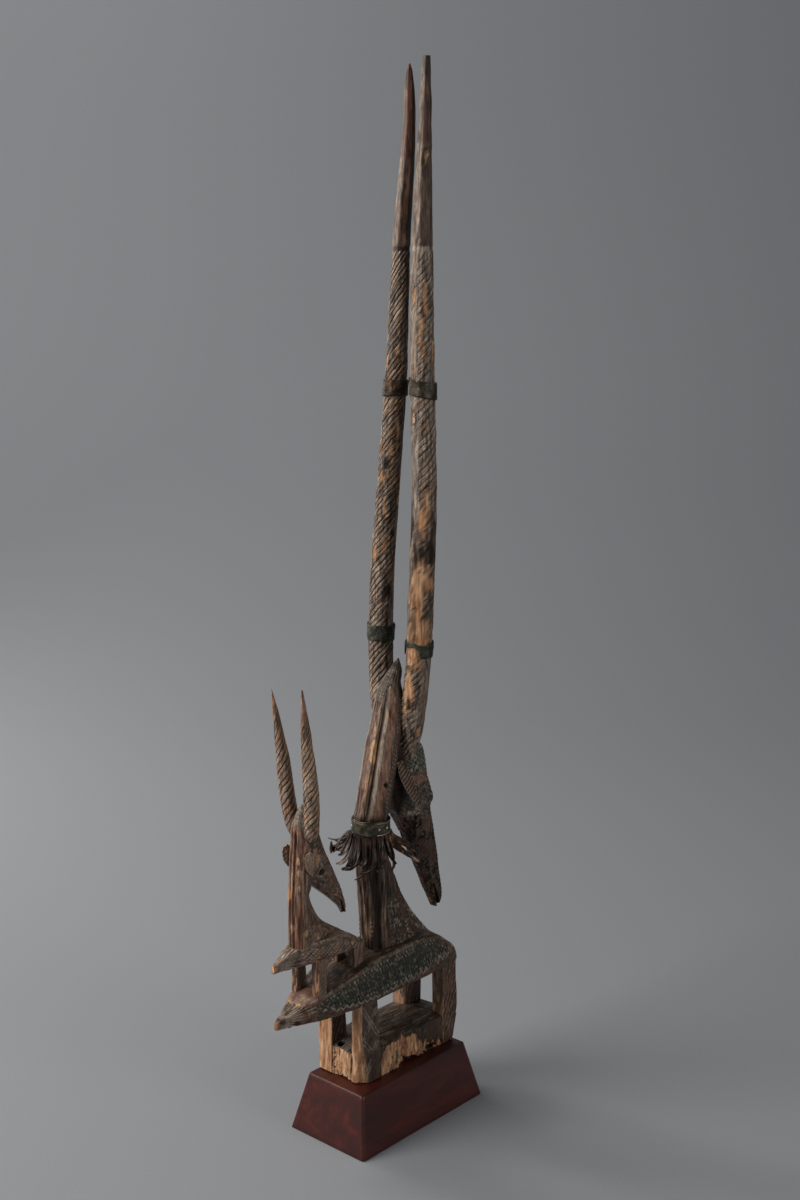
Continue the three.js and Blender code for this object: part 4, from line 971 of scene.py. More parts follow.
def block_relief(points, facing, form):
    """Bare, fissured wood behind and below the old break on the right, dark skin elsewhere, and a tie's hole on
    top."""
    x, y, z = points.T
    top = ease(facing[:, 2], 0.45, 0.75)
    behind = ease(-facing[:, 0], 0.35, 0.7)
    right = ease(-facing[:, 1], 0.35, 0.7)
    fissure = ease(np.abs(lumps(points, (3.4, 3.4, 26), 121, 2)), 0.16, 0.02)
    pits = ease(lumps(points, (2.2, 2.2, 6), 122, 2), 0.45, 0.8)
    rough = lumps(points, (3.2, 3.2, 60), 123, 3)
    shade = ease(lumps(points, (5, 5, 22), 132, 3), 0, 0.45)
    under_break = straight_line(BREAK_TOP, x) + 4.5 * rough + 3 * lumps(points, (9, 9, 9), 133) - z
    broken = right * ease(under_break, -0.6, 0.8) * ease(x, -46, -40)
    whole = right * (1 - broken)
    rear_skin = ragged_spots(points, [(-61, 24, 88, 9, 4), (-60, -2, 90, 7, 3)], 124)
    bare = np.maximum(broken, behind * (1 - 0.8 * rear_skin))
    dark_skin = broken * ease(lumps(points, (4, 4, 20), 131, 3), 0.15, 0.35)
    olive = ragged_spots(points, [(-10.5, -23, 70, 2.4, 9)], 125)
    undercut = ragged_spots(points, [(10, -22, 60, 8, 3.5), (42, -22, 62, 5, 3)], 126)
    strokes = ease(lumps(points, (14, 1.3, 3), 127, 2), 0.1, 0.5) * top
    gouges = cut(nearest(y + 0.18 * x + 1.5 * lumps(points, (30, 12, 12), 128), 3.2), 1.3) * top
    gouges *= ease(lumps(points, (16, 7, 9), 129), -0.2, 0.3)
    hatch = cut(nearest(x - 0.5 * z, 4.4), 0.9) * whole
    near_tie = np.hypot(x + 55, y - 12)
    hole = ease(near_tie, 4.0, 2.4) * top
    patch = ease(near_tie + 3 * rough, 15, 12) * top
    foot_edge = ease(z, 62, 60.5)
    height = (bare * (-1.7 * fissure - 1.1 * pits + 1.3 * rough) - 1.6 * broken - 2 * undercut - 0.5 * gouges
              - 0.4 * hatch - 6 * hole - 1.2 * foot_edge * ease(rough, 0, 0.4))
    return height, {
        "bare": bare * (1 - 0.4 * fissure) * (1 - 0.8 * olive) * (1 - undercut) * (1 - 0.45 * dark_skin)
        * (1 - (0.6 - 0.5 * right) * shade),
        "red": bare * (1 - olive),
        "cut": (0.6 - 0.3 * right) * bare * fissure + 0.4 * bare * pits + 0.5 * gouges + 0.4 * hatch + 0.95 * hole
        + 0.9 * undercut + 0.3 * whole + 0.45 * top + 0.15 * dark_skin,
        "worn": 0.35 * strokes * (1 - patch) + 0.3 * whole * ease(pits, 0, 0.5),
        "grey": 0.55 * patch * (1 - hole) + 0.25 * strokes * (1 - patch),
        "green": 0.8 * olive + 0.3 * top * ease(lumps(points, (20, 12, 12), 130), 0, 0.5),
    }


# Sheet metal, nails and leather.
NECK_AT_COLLAR, COLLAR_FOOT, COLLAR_HEIGHT = 16.6, 245.5, 12.5  # the neck's radius there, and the collar's heights
NAIL = ((-4, 0.5), (0, 0.55), (0.1, 1.5), (0.5, 1.7), (0.9, 1.45), (1.25, 0.9), (1.4, 0.35))  # out, radius
HIDE = 0.9  # thick


def bent_strip(place, turns, height, thick, tilt=(0, 0)):
    """A strip of sheet bent round a middle: place gives the middle and radius at heights, turns the degrees that it
    runs through, height its lower and upper edge at each of them, and tilt how far it leans and at which degree."""
    rows, overlap = 14, 0.8
    rings = []
    for turn in turns:
        angle = math.radians(turn)
        lift = np.linspace(*height(turn), rows) + tilt[0] * math.cos(math.radians(turn - tilt[1]))
        x, y, radius = place(lift)
        lap = overlap * (turn - turns[0]) / 360
        reaches = [radius + lap + extra for extra in (0, thick)]
        inner, outer = (np.stack([x + r * math.cos(angle), y + r * math.sin(angle), lift], -1) for r in reaches)
        rings.append(np.vstack([inner, outer[::-1]]))
    return skin(np.array(rings), 2, 2)


def hand_bent(turn, *waves):
    """How far an edge strays from true at that many degrees, by waves (depth, times round, start in degrees)."""
    return sum(depth * math.sin(math.radians(turn * times + start)) for depth, times, start in waves)


def dent(strip, depth, seed):
    """Presses wide hollows that deep into a strip, and small ones all over."""
    points = strip["points"]
    raise_skin(strip, depth * lumps(points, (7, 7, 6), seed, 2) + 0.1 * lumps(points, (2, 2, 2), seed + 2, 2))


def horn_band(name, side, up, tilt, lower, upper, brown=((0, 0), (360, 0))):
    """A strip round one of the mother's horns, up at a share of its length. Lower and upper give its edges, and brown
    its share of rust, as (degrees, value)."""
    middle = MOTHER["horn"]["base"] + up * MOTHER["horn"]["length"]

    def place(z):
        x, y, radius = horn_place(MOTHER, side, z)
        return x, y, radius + 0.35

    def height(turn):
        stray = hand_bent(turn, (0.5, 3, up * 900), (0.3, 11, 0))
        return (middle + straight_line(lower, turn % 360) + 0.6 * stray,
                middle + straight_line(upper, turn % 360) + 0.5 * stray)

    strip = bent_strip(place, np.arange(40, 416, 3.0), height, 0.6, tilt)
    dent(strip, 0.45, 140 + int(up * 10))
    _, turn, _ = horn_facing(strip["points"], MOTHER, side)
    rust = straight_line(brown, turn) * ease(lumps(strip["points"], (5, 5, 6), 145, 2), -0.9, 0)
    make_piece(name, [strip], BLACKENED_SHEET, [name], {"red": rust})


def neck_middle(z):
    """The x of the middle of the mother's neck at heights."""
    return smooth_line([row[:2] for row in MOTHER["neck"]], z).reshape(np.shape(z))


def round_neck(gap):
    """Where a strip lies that goes round the neck at a gap: its middle and radius at heights."""
    return lambda z: (neck_middle(z), 0 * z, 0 * z + NECK_AT_COLLAR + gap)


def wire(path, thick):
    """A round bead along a path."""
    run = np.gradient(path, axis=0)
    run /= np.linalg.norm(run, axis=1, keepdims=True)
    out = np.cross(run, [0, 0, 1.0])
    out /= np.linalg.norm(out, axis=1, keepdims=True)
    up = np.cross(out, run)
    turns = np.radians(np.arange(0, 360, 45))
    rings = [[p + thick / 2 * (o * math.cos(a) + u * math.sin(a)) for a in turns] for p, o, u in zip(path, out, up)]
    return skin(np.array(rings), 2, 2)


def neck_collar():
    """The collar's strip, with a rubbed bead along its lower and its upper edge."""
    def height(turn):
        stray = hand_bent(turn, (0.25, 5, 0), (0.15, 17, 0))
        return COLLAR_FOOT + stray, COLLAR_FOOT + COLLAR_HEIGHT + stray

    strip = bent_strip(round_neck(1.5), np.arange(236, 236 + 366, 2.0), height, 0.7)
    dent(strip, 0.3, 151)
    forms = [strip]
    reach, turns = NECK_AT_COLLAR + 2.3, np.radians(np.arange(0, 360, 3))
    for foot, thick in ((COLLAR_FOOT - 0.3, 1.1), (COLLAR_FOOT + COLLAR_HEIGHT - 0.9, 0.8)):
        path = np.stack([float(neck_middle(foot)) + reach * np.cos(turns), reach * np.sin(turns),
                         foot + thick / 2 + 0.15 * np.sin(turns * 5)], -1)
        forms.append(wire(np.vstack([path, path[:1]]), thick))

    def each(shares):
        return np.concatenate([np.full(len(form["points"]), share) for form, share in zip(forms, shares)])

    places = np.vstack([form["points"] for form in forms])
    olive = each((0.75, 1, 0.9)) * ease(lumps(places, (6, 6, 5), 152, 2), -0.8, 0)
    make_piece("neck_collar", forms, BLACKENED_SHEET, ["neck_collar"],
               {"worn": olive, "grey": each((0, 0.9, 0.5))})


def collar_nail(number, turn):
    """A hand-made nail with a slightly uneven round head, at that many degrees round the collar."""
    z = COLLAR_FOOT + COLLAR_HEIGHT / 2
    away = np.array([math.cos(math.radians(turn)), math.sin(math.radians(turn)), 0])
    side = np.array([-away[1], away[0], 0])
    start = np.array([float(neck_middle(z)), 0, z]) + away * (NECK_AT_COLLAR + 2.1)
    turns = np.radians(np.arange(0, 360, 20))
    uneven = 1 + 0.08 * np.sin(turns * 3 + number)
    rings = [[start + away * out + radius * u * (side * math.cos(t) + np.array([0, 0, math.sin(t)]))
              for t, u in zip(turns, uneven)] for out, radius in NAIL]
    name = f"collar_nail_{number}"
    make_piece(name, [skin(np.array(rings), 2, 2)], DULL_NAIL, [name])


def leather_tongue(path, widths, roll):
    """A cut strip of hide along a path, cupped across, with its roll in degrees at each end."""
    path = finer_along(np.array(path, float)[:, None, :], 1.2)[:, 0]
    share = np.linspace(0, 1, len(path))
    run = np.gradient(path, axis=0)
    run /= np.linalg.norm(run, axis=1, keepdims=True)
    away = path - np.array([float(neck_middle(COLLAR_FOOT)), 0, 0])
    away[:, 2] = 6  # keeps the outer face up where the tongue runs straight out
    across = np.cross(run, away)
    across /= np.linalg.norm(across, axis=1, keepdims=True)
    out = np.cross(across, run)
    turn = np.radians(roll[0] + (roll[1] - roll[0]) * share)[:, None]
    across, out = across * np.cos(turn) + out * np.sin(turn), out * np.cos(turn) - across * np.sin(turn)
    width = np.interp(share, np.linspace(0, 1, len(widths)), widths)
    place = np.linspace(-0.5, 0.5, 6)
    rings = [[p + a * w * s + o * (w * 0.5 * (s * s * 2 - 0.25) + side * HIDE / 2)
              for side, row in ((-1, place), (1, place[::-1])) for s in row]
             for p, a, o, w in zip(path, across, out, width)]
    return skin(np.array(rings), 2, 2)


FRINGE_OUT = [(0, 5), (60, 6), (100, 15), (118, 21), (132, 28), (155, 25), (180, 14), (215, 9), (245, 10), (268, 18),
              (290, 30), (310, 34), (335, 12), (360, 5)]  # degrees round the neck, how far the tongues reach out
FRINGE_DROP = [(0, 22), (60, 24), (100, 32), (132, 24), (155, 38), (180, 50), (215, 50), (245, 47), (268, 38),
               (290, 28), (310, 22), (340, 20), (360, 22)]
TURNED_UP = [(18, 3), (24, 1), (30, -6), (35, -15), (37.5, -18), (38.6, -14), (39, -8)]  # out, up


def fringe_tongues():
    """Sixty-eight tongues in three layers that fall, sway and curl unevenly, and a long one with its end turned up."""
    chance = np.random.default_rng(7)
    count, layers, curl_from, long_fall, turned_up_at = 68, 3, 0.62, 34, math.radians(132)
    low = COLLAR_FOOT - 4
    axis = float(neck_middle(low))
    made = []
    for number in range(count):
        turn = number * 360 / count + chance.normal(0, 3)
        out = float(straight_line(FRINGE_OUT, turn % 360)) * chance.uniform(0.4, 1.15)
        fall = float(straight_line(FRINGE_DROP, turn % 360)) * chance.uniform(0.68, 1.06)
        sway, curl = chance.normal(0, 9), chance.uniform(-0.3, 0.5)
        start = NECK_AT_COLLAR + 1.0 + 1.1 * (number % layers)
        path = []
        for t in np.linspace(0, 1, 8):
            end = max(0, t - curl_from) / (1 - curl_from)
            r = start + out * (t**1.6) - curl * 5 * end**2
            a = math.radians(turn + sway * t * t - 16 * end**2 * (1 if fall > long_fall else 0.3))
            z = low + 3 - fall * (t - 0.16 * t**3) + abs(curl) * 7 * end**2
            path.append((axis + r * math.cos(a), r * math.sin(a), z))
        wide = chance.uniform(2.4, 4.8)
        widths = [wide * 0.9, wide, wide * 1.05, wide * 0.9, wide * chance.uniform(0.25, 0.7)]
        made.append(leather_tongue(path, widths, (chance.normal(0, 28), chance.normal(0, 65))))
    left = np.array([math.cos(turned_up_at), math.sin(turned_up_at), 0])
    path = [np.array([axis, 0, low]) + left * out + [0, 0, up] for out, up in TURNED_UP]
    made.append(leather_tongue(path, [3.4, 4, 4, 4.4, 7.5, 6.5, 1.5], (0, 25)))
    return made


def leather_fringe():
    """The hide's uncut strap under the collar, and its tongues, with the light that glows through them painted amber
    where they stand out at the front.
    """
    def height(turn):
        return COLLAR_FOOT - 4.6, COLLAR_FOOT + 13.6 + hand_bent(turn, (0.4, 2, 0), (0.3, 7, 0))

    forms = [bent_strip(round_neck(0.3), np.arange(100, 466, 3.0), height, HIDE), *fringe_tongues()]
    for form in forms:
        raise_skin(form, 0.18 * lumps(form["points"], (2.5, 2.5, 5), 161, 2))
    x, y, z = (np.vstack([form["points"] for form in forms]) - FOOT).T
    turn = np.degrees(np.arctan2(y, x - float(neck_middle(COLLAR_FOOT)))) % 360
    # Painted light: amber where light from behind glows through the thin tongues, carried by the mark worn.
    painted_glow = ease(turn, 262, 285) * ease(350 - turn, 0, 20) * ease(z, 250, 240)
    make_piece("leather_fringe", forms, DRIED_HIDE, ["leather_fringe"], {"worn": painted_glow})


def plinth_block():
    """A sawn block with four sloping sides and slightly rounded edges."""
    half_x, half_y, height, inset, rounding = 90.0, 50.0, 59.0, 13.5, 0.9

    def level(z, extra=0.0):
        x, y = half_x - inset * z / height - extra, half_y - inset * z / height - extra
        return [(x, -y, z), (x, y, z), (-x, y, z), (-x, -y, z)]

    rows = [level(0, 0.8), level(0.8), *(level(z) for z in np.arange(4, 58, 3.0))]
    rows += [level(height - rounding), level(height - 0.25, 0.25), level(height, rounding)]
    form = skin(finer_round(np.array(rows), 2.5, rounding), 14, 14)
    form["points"] -= FOOT
    form["points"][:, 2] = np.clip(form["points"][:, 2], 0, height)
    make_piece("plinth", [form], ROSEWOOD, ["plinth"])


# Finishes. A pattern too fine to show in a picture of the whole object is drawn as coarse as it needs to be.
A, B, MIXED = 6, 7, 2  # a colour mix's own colour sockets


def linear(colour):
    """A linear RGBA colour from an sRGB hex string."""
    parts = [int(colour[i:i + 2], 16) / 255 for i in (0, 2, 4)]
    return (*(part / 12.92 if part <= 0.04045 else ((part + 0.055) / 1.055) ** 2.4 for part in parts), 1)


def node(tree, kind, inputs=None, stops=None, out=0, **settings):
    """Adds a node with its settings, its ramp's stops and its inputs, each a value or the socket that feeds it, and
    gives back its output."""
    made = tree.nodes.new(kind)
    for name, value in settings.items():
        setattr(made, name, value)
    if stops:
        points = made.color_ramp.elements
        while len(points) < len(stops):
            points.new(0.5)
        for point, (place, colour) in zip(points, stops):
            point.position, point.color = place, linear(colour)
    for name, value in (inputs or {}).items():
        if isinstance(value, bpy.types.NodeSocket):
            tree.links.new(value, made.inputs[name])
        else:
            made.inputs[name].default_value = linear(value) if isinstance(value, str) else value
    return made.outputs[out]


def sized(millimetres):
    """The scale of a pattern whose features are that wide."""
    return 1 / (millimetres * MM)


def bare_finish(name):
    """A new finish, its node tree, and the places on the object that its patterns hang on."""
    material = bpy.data.materials.new(name)
    material.use_nodes = True
    tree = material.node_tree
    return material, tree, node(tree, "ShaderNodeTexCoord", out="Object")


def dressed(material, colour, roughness, relief, strength, depth, **even):
    """The finish with its colour, its roughness and its fine relief, so many mm deep, and what is even all over."""
    tree = material.node_tree
    surface = tree.nodes["Principled BSDF"]
    bump = node(tree, "ShaderNodeBump", {"Height": relief, "Strength": strength, "Distance": depth * MM})
    for name, socket in (("Base Color", colour), ("Roughness", roughness), ("Normal", bump)):
        tree.links.new(socket, surface.inputs[name])
    for name, value in even.items():
        surface.inputs[name.replace("_", " ")].default_value = value
    return material


def old_carved_wood():
    """Light hardwood, adze-cut, smoked and oiled until nearly black: dull, with a faint polish where hands wore it,
    powdery tan where it broke, and soot left in the cuts."""
    material, tree, place = bare_finish("old_carved_wood")
    upright = node(tree, "ShaderNodeMapping", {"Vector": place, "Scale": (1, 1, 0.12)})  # fibres are long up the tree
    fibre, streaks, band, cloud, grit = (
        node(tree, "ShaderNodeTexNoise", {"Vector": along, "Scale": sized(wide), "Detail": detail, "Roughness": rough})
        for along, wide, detail, rough in (
            (upright, 1.613, 5, 0.65),  # bundles of fibres, really 0.3 mm wide
            (upright, 3.03, 4, 0.7),  # dark streaks of vessels, really 0.5 mm wide
            (upright, 9.09, 4, 0.6),  # growth rings cut lengthwise
            (place, 38.46, 5, 0.6),  # clouds of smoke
            (place, 1.923, 4, 0.7),  # grit of soot and dust, really 0.2 mm
        ))
    patina, rubbed, raw, soot, red, green, grey, shade = (
        node(tree, "ShaderNodeValToRGB", {"Fac": pattern}, stops) for pattern, stops in (
            (band, [(0.3, "30221A"), (0.5, "4A372B"), (0.72, "6B5445")]),
            (fibre, [(0.3, "765E4C"), (0.55, "A58B76"), (0.75, "C9B29C")]),
            (fibre, [(0.3, "7A5338"), (0.42, "B98B66"), (0.56, "D8B38D"), (0.75, "F2DCC0")]),
            (grit, [(0.3, "15110F"), (0.7, "2A2420")]),
            (fibre, [(0.3, "50281C"), (0.7, "8A4D36")]),
            (grit, [(0.35, "0E1510"), (0.52, "1F2E24"), (0.64, "3A553F"), (0.76, "78907A")]),
            (grit, [(0.3, "92877B"), (0.7, "D2C6B7")]),
            (streaks, [(0.38, "58514B"), (0.575, "FFFFFF")]),
        ))
    mark = {name: node(tree, "ShaderNodeAttribute", out="Fac", attribute_name=name) for name in MARKS}

    def where(amount, pattern, low, high):
        """The amount where the pattern lies above low, all of it from high on."""
        share = node(tree, "ShaderNodeMapRange", {"Value": pattern, "From Min": low, "From Max": high})
        return node(tree, "ShaderNodeMath", {0: amount, 1: share}, operation="MULTIPLY", use_clamp=True)

    tan = {0: where(cloud, band, 0.42, 0.6), A: raw, B: "A0693F"}
    raw = node(tree, "ShaderNodeMix", tan, out=MIXED, data_type="RGBA")
    dust = node(tree, "ShaderNodeMapRange", {"Value": grit, "From Min": 0.58, "From Max": 0.66, "To Max": 0.6})
    faint_grain = node(tree, "ShaderNodeMath", {0: mark["grain"], 1: 0.25}, operation="MULTIPLY")
    colour = patina
    for layer, amount, way in (  # from the wood outwards
        ("2B221B", where(cloud, cloud, 0.45, 0.7), "MIX"),
        (red, mark["red"], "MIX"),
        (rubbed, where(mark["worn"], grit, 0.2, 0.55), "MIX"),
        (green, mark["green"], "MIX"),
        (grey, mark["grey"], "MIX"),
        ("8D7C6B", where(dust, cloud, 0.35, 0.6), "MIX"),
        (shade, mark["grain"], "MULTIPLY"),
        (raw, mark["bare"], "MIX"),
        (shade, faint_grain, "MULTIPLY"),
        (soot, mark["cut"], "MIX"),
    ):
        mix = {0: amount, A: colour, B: layer}
        colour = node(tree, "ShaderNodeMix", mix, out=MIXED, data_type="RGBA", blend_type=way)
    dull = node(tree, "ShaderNodeMapRange", {"Value": grit, "To Min": 0.34, "To Max": 0.56})
    duller = node(tree, "ShaderNodeMath", {0: mark["bare"], 1: 0.3, 2: dull}, operation="MULTIPLY_ADD")
    relief = node(tree, "ShaderNodeMath", {0: fibre, 1: 0.7, 2: grit}, operation="MULTIPLY_ADD")
    sheen = node(tree, "ShaderNodeMapRange", {"Value": mark["cut"], "To Min": 0.5, "To Max": 0.1})
    tree.links.new(sheen, tree.nodes["Principled BSDF"].inputs["Specular IOR Level"])
    return dressed(material, colour, duller, relief, 0.6, 0.8, IOR=1.5)


def rosewood():
    """Rosewood, planed and waxed: dark red-brown with finer black lines along its length and a soft sheen."""
    material, tree, place = bare_finish("waxed_rosewood")
    along = node(tree, "ShaderNodeMapping", {"Vector": place, "Scale": (0.1, 1, 1), "Rotation": (0, 0.1, 0)})
    figure = node(tree, "ShaderNodeTexNoise", {"Vector": along, "Scale": sized(16.667), "Detail": 6, "Roughness": 0.65,
                                               "Distortion": 0.6})
    pores = node(tree, "ShaderNodeTexNoise", {"Vector": along, "Scale": sized(1.4286), "Detail": 3})  # really 0.2 mm
    cloud = node(tree, "ShaderNodeTexNoise", {"Vector": place, "Scale": sized(71.43), "Detail": 3})
    lines = node(tree, "ShaderNodeValToRGB", {"Fac": figure}, [(0.32, "200A08"), (0.5, "40130F"), (0.68, "652217")])
    warm = node(tree, "ShaderNodeMix", {0: cloud, A: lines, B: "3A1612"}, out=MIXED, data_type="RGBA")
    dark = node(tree, "ShaderNodeMapRange", {"Value": pores, "From Min": 0.55, "From Max": 0.7, "To Max": 0.6})
    colour = node(tree, "ShaderNodeMix", {0: dark, A: warm, B: "170A09"}, out=MIXED, data_type="RGBA")
    gloss = node(tree, "ShaderNodeMapRange", {"Value": pores, "To Min": 0.3, "To Max": 0.42})
    return dressed(material, colour, gloss, pores, 0.12, 0.3, IOR=1.5, Specular_IOR_Level=0.45)


def blackened_sheet():
    """Thin sheet iron, hammered and blackened: nearly black, greenish where it is dusty, bright only on bumps. The
    marks worn, red and grey bring its olive dust, its brown rust and its rubbed edges."""
    material, tree, place = bare_finish("blackened_sheet_iron")
    cloud = node(tree, "ShaderNodeTexNoise", {"Vector": place, "Scale": sized(8.333), "Detail": 6, "Roughness": 0.7})
    fleck = node(tree, "ShaderNodeTexNoise", {"Vector": place, "Scale": sized(1.6667), "Detail": 4, "Roughness": 0.7})
    black, olive, brown = (
        node(tree, "ShaderNodeValToRGB", {"Fac": cloud}, stops) for stops in (
            [(0.3, "1A1C19"), (0.48, "30332E"), (0.6, "4A4D43"), (0.74, "67574A")],
            [(0.35, "3B352C"), (0.55, "625A4C"), (0.7, "9A9182")],
            [(0.35, "140D0A"), (0.52, "33231B"), (0.7, "664E3E")],
        ))
    colour = black
    for layer, mark in ((olive, "worn"), (brown, "red"), ("B4AC9E", "grey")):
        amount = node(tree, "ShaderNodeAttribute", out="Fac", attribute_name=mark)
        colour = node(tree, "ShaderNodeMix", {0: amount, A: colour, B: layer}, out=MIXED, data_type="RGBA")
    bright = node(tree, "ShaderNodeMapRange", {"Value": fleck, "From Min": 0.58, "From Max": 0.7, "To Max": 0.7})
    colour = node(tree, "ShaderNodeMix", {0: bright, A: colour, B: "8C897C"}, out=MIXED, data_type="RGBA")
    gloss = node(tree, "ShaderNodeMapRange", {"Value": cloud, "To Min": 0.35, "To Max": 0.65})
    return dressed(material, colour, gloss, fleck, 0.3, 0.4, Metallic=0.75)


def dull_nail():
    """Old iron nails, rubbed bright on their heads: dull grey metal with brown in the pits."""
    material, tree, place = bare_finish("rubbed_iron_nail")
    pits = node(tree, "ShaderNodeTexNoise", {"Vector": place, "Scale": sized(1.1111), "Detail": 4})
    colour = node(tree, "ShaderNodeValToRGB", {"Fac": pits}, [(0.35, "4A4038"), (0.6, "C8C3B8")])
    gloss = node(tree, "ShaderNodeMapRange", {"Value": pits, "To Min": 0.5, "To Max": 0.3})
    return dressed(material, colour, gloss, pits, 0.3, 0.3, Metallic=1)


def dried_hide():
    """Rawhide cut in narrow tongues and dried hard: black-brown, with a horny sheen, and amber where the mark worn says
    that light comes through its thin edges."""
    material, tree, place = bare_finish("dried_rawhide")
    cloud = node(tree, "ShaderNodeTexNoise", {"Vector": place, "Scale": sized(9.09), "Detail": 5, "Roughness": 0.7})
    crease = node(tree, "ShaderNodeTexNoise", {"Vector": place, "Scale": sized(1.25), "Detail": 4})  # really 0.4 mm
    dark, thin = (
        node(tree, "ShaderNodeValToRGB", {"Fac": cloud}, stops) for stops in (
            [(0.4, "0F0906"), (0.5, "23150F"), (0.6, "482F20"), (0.72, "7A5536")],
            [(0.44, "1C110A"), (0.56, "5A3A20"), (0.7, "BC8548")],
        ))
    # The mark worn here carries painted light: the amber glow of light through thin edges.
    painted_glow = node(tree, "ShaderNodeAttribute", out="Fac", attribute_name="worn")
    colour = node(tree, "ShaderNodeMix", {0: painted_glow, A: dark, B: thin}, out=MIXED, data_type="RGBA")
    gloss = node(tree, "ShaderNodeMapRange", {"Value": crease, "To Min": 0.2, "To Max": 0.5})
    return dressed(material, colour, gloss, crease, 0.3, 0.4, IOR=1.5)


def studio_paper():
    """Matt grey background paper, the photographer's sweep: no gloss and hardly any grain."""
    material, tree, place = bare_finish("matt_background_paper")
    surface = tree.nodes["Principled BSDF"]
    tooth = node(tree, "ShaderNodeTexNoise", {"Vector": place, "Scale": sized(2), "Detail": 2})
    colour = node(tree, "ShaderNodeValToRGB", {"Fac": tooth}, [(0.3, "898F97"), (0.7, "8E949C")])
    tree.links.new(colour, surface.inputs["Base Color"])
    surface.inputs["Roughness"].default_value = 0.95
    return material


OLD_WOOD = old_carved_wood()
ROSEWOOD = rosewood()
BLACKENED_SHEET = blackened_sheet()
DULL_NAIL = dull_nail()
DRIED_HIDE = dried_hide()


# The headdress.
SIDES = ((1, "left"), (-1, "right"))


def antelope(name, animal, columns, body_relief, leg_relief, neck_relief, head_relief):
    """An animal but for its horns. The mother's legs on the block's upright sides run on down to its foot."""
    post_foot = 0.4
    old_wood_piece(f"{name}_body", skin(body_rings(animal), 4, 10), body_relief)
    for leg in animal["legs"]:
        foot = post_foot if animal is MOTHER and leg != "fore_left" else None
        old_wood_piece(f"{name}_{leg}_leg", skin(leg_rings(animal, leg, foot), 2, 2), leg_relief)
    old_wood_piece(f"{name}_neck", skin(neck_rings(animal, columns), 2, 2), neck_relief)
    head = skin(head_rings(animal), 4, 8)
    head["pressed"] = open_mouth(head, animal["mouth"])
    old_wood_piece(f"{name}_head", head, head_relief)
    for side, word in SIDES:
        old_wood_piece(f"{name}_{word}_ear", skin(ear_rings(animal, side), 2, 2), ear_relief(animal, side))


antelope("mother", MOTHER, 200, mother_body_relief, mother_leg_relief, mother_neck_relief, mother_head_relief)
antelope("fawn", FAWN, 120, fawn_body_relief, fawn_leg_relief, fawn_neck_relief, fawn_head_relief)
for (side, word), starts, lead, edge in zip(SIDES, (13, 11), (84, 76), (198, 206)):  # as horn_form names them
    horn = horn_form(MOTHER, side, starts, lead, 2.2, edge)
    old_wood_piece(f"mother_{word}_horn", horn, mother_horn_relief(side, starts, lead))
for side, word in SIDES:
    old_wood_piece(f"fawn_{word}_horn", horn_form(FAWN, side, 8, 53, 1.4), fawn_horn_relief(side, 8, 53))
old_wood_piece("foot_block", block_form(), block_relief)

EVEN = [(0, -7.5), (360, -7.5)], [(0, 7.5), (360, 7.5)]
TORN = ([(0, -7), (120, -6), (135, 2), (200, 4.5), (222, 0), (228, -7.5), (312, -6.5), (360, -7)],
        [(0, 7), (120, 8), (140, 9), (190, 8.5), (215, 6), (228, 5.5), (300, 7.5), (360, 7)])
RUSTY = [(0, 1), (360, 1)]
HALF_RUSTY = [(0, 0.2), (150, 1), (195, 0.9), (225, 0.45), (262, 0.2), (275, 0.7), (320, 0.3), (360, 0.2)]
horn_band("horn_band_left_upper", 1, 0.5435, (0.6, 230), *EVEN, RUSTY)
horn_band("horn_band_right_upper", -1, 0.545, (2.4, 130), *EVEN, HALF_RUSTY)
horn_band("horn_band_left_lower", 1, 0.1844, (0.5, 130), *EVEN)
horn_band("horn_band_right_lower", -1, 0.1701, (0, 0), *TORN)
neck_collar()
for number, turn in enumerate((78, 148, 247, 277), 1):
    collar_nail(number, turn)
leather_fringe()
plinth_block()

# Floor, light and camera, in metres and watts. The camera looks along a heading from +Y towards +X.
HEADING, DIP = math.radians(48), math.radians(12.2)
AWAY = np.array([math.sin(HEADING), math.cos(HEADING)])
ASIDE = np.array([AWAY[1], -AWAY[0]])
MIDDLE = (0, 0, 0.5)  # of the headdress
PAPER_HALF_WIDTH = 4.5
PAPER_SWEEP = [  # how far beyond the object, how high
    (-4.2, 0.0), (1.2, 0.0), (1.7, 0.03), (2.2, 0.16), (2.7, 0.45), (3.0, 0.9), (3.1, 1.6), (3.1, 4.5),
]


def towards(side, back, up):
    """A place so far to the right of the camera's line, beyond the object and above the floor."""
    return (*(ASIDE * side + AWAY * back), up)


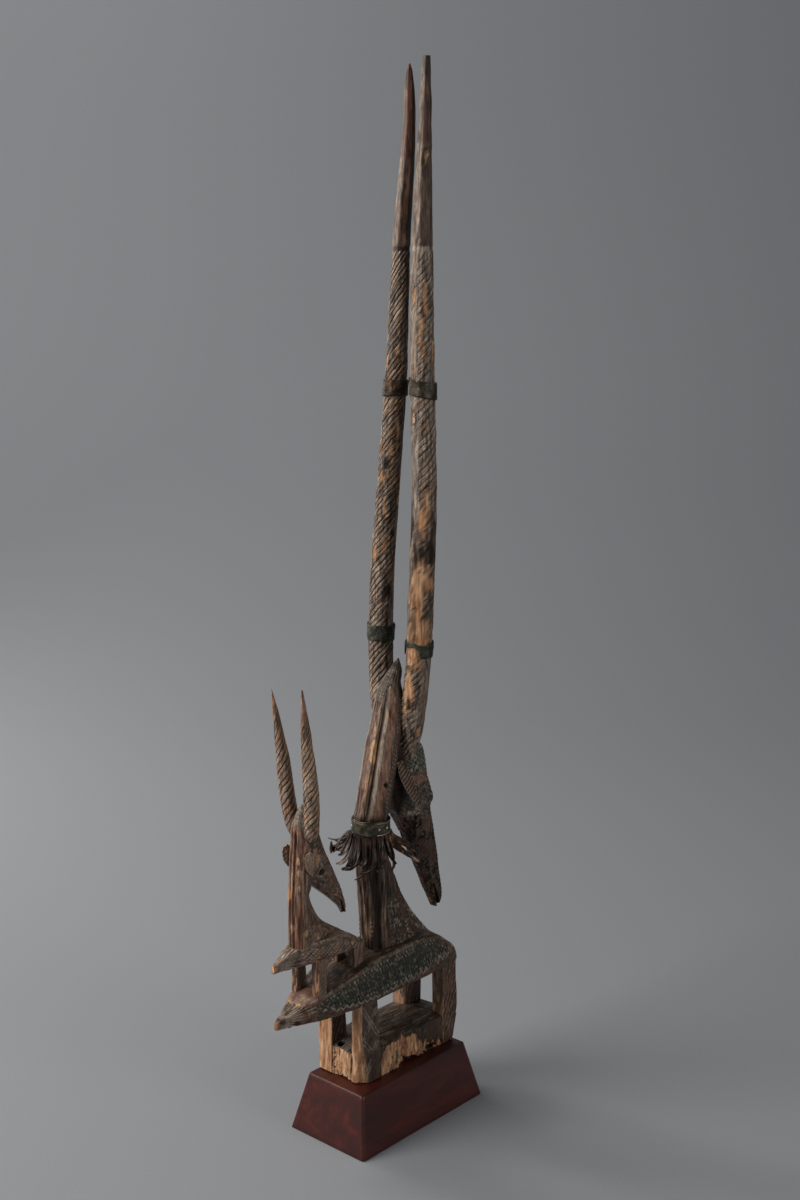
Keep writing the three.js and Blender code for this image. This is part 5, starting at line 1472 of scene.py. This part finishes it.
sweep = finer_along(np.array(PAPER_SWEEP)[:, None, :], 0.12)[:, 0]
paper_points = [towards(side, back, up) for back, up in sweep for side in (-PAPER_HALF_WIDTH, PAPER_HALF_WIDTH)]
paper_faces = [(i, i + 1, i + 3, i + 2) for i in range(0, len(paper_points) - 2, 2)]
paper = bpy.data.meshes.new("background_paper")
paper.from_pydata(paper_points, [], paper_faces)
paper.shade_smooth()
background = bpy.data.objects.new("background_paper", paper)
background.data.materials.append(studio_paper())
bpy.context.scene.collection.objects.link(background)


def soft_light(name, place, aim, size, power, spread=180):
    """A slightly warm rectangular softbox, which throws its light that many degrees wide."""
    lamp = bpy.data.lights.new(name, "AREA")
    lamp.shape, lamp.size, lamp.size_y = "RECTANGLE", *size
    lamp.energy, lamp.color, lamp.spread = power, linear("FFF6EC")[:3], math.radians(spread)
    made = bpy.data.objects.new(name, lamp)
    made.location = place
    made.rotation_euler = (Vector(aim) - Vector(place)).to_track_quat("-Z", "Y").to_euler()
    bpy.context.scene.collection.objects.link(made)


soft_light("left_softbox", towards(-2.1, -0.9, 1.55), MIDDLE, (1.6, 1.8), 66)
soft_light("right_fill", towards(2.2, -1.6, 1.2), MIDDLE, (1.0, 1.0), 3, 70)
soft_light("left_edge_light", towards(-1.5, 1.2, 1.0), MIDDLE, (0.7, 1.2), 13)
soft_light("wall_light", towards(-1.9, 0.9, 3.0), towards(-0.3, 3.0, 1.9), (1.0, 1.0), 50)
world = bpy.data.worlds.new("studio")
world.use_nodes = True
studio = world.node_tree.nodes["Background"]
studio.inputs["Color"].default_value, studio.inputs["Strength"].default_value = linear("CCCAC8"), 0.24
bpy.context.scene.world = world
bpy.context.scene.view_settings.view_transform = "Standard"

lens = bpy.data.cameras.new("photo_camera")
lens.lens, lens.sensor_width = 50, 36
camera = bpy.data.objects.new("photo_camera", lens)
camera.location = (-1.1467, -1.0490, 0.8689)
camera.rotation_euler = (math.pi / 2 - DIP, 0, -HEADING)
bpy.context.scene.collection.objects.link(camera)
bpy.context.scene.camera = camera
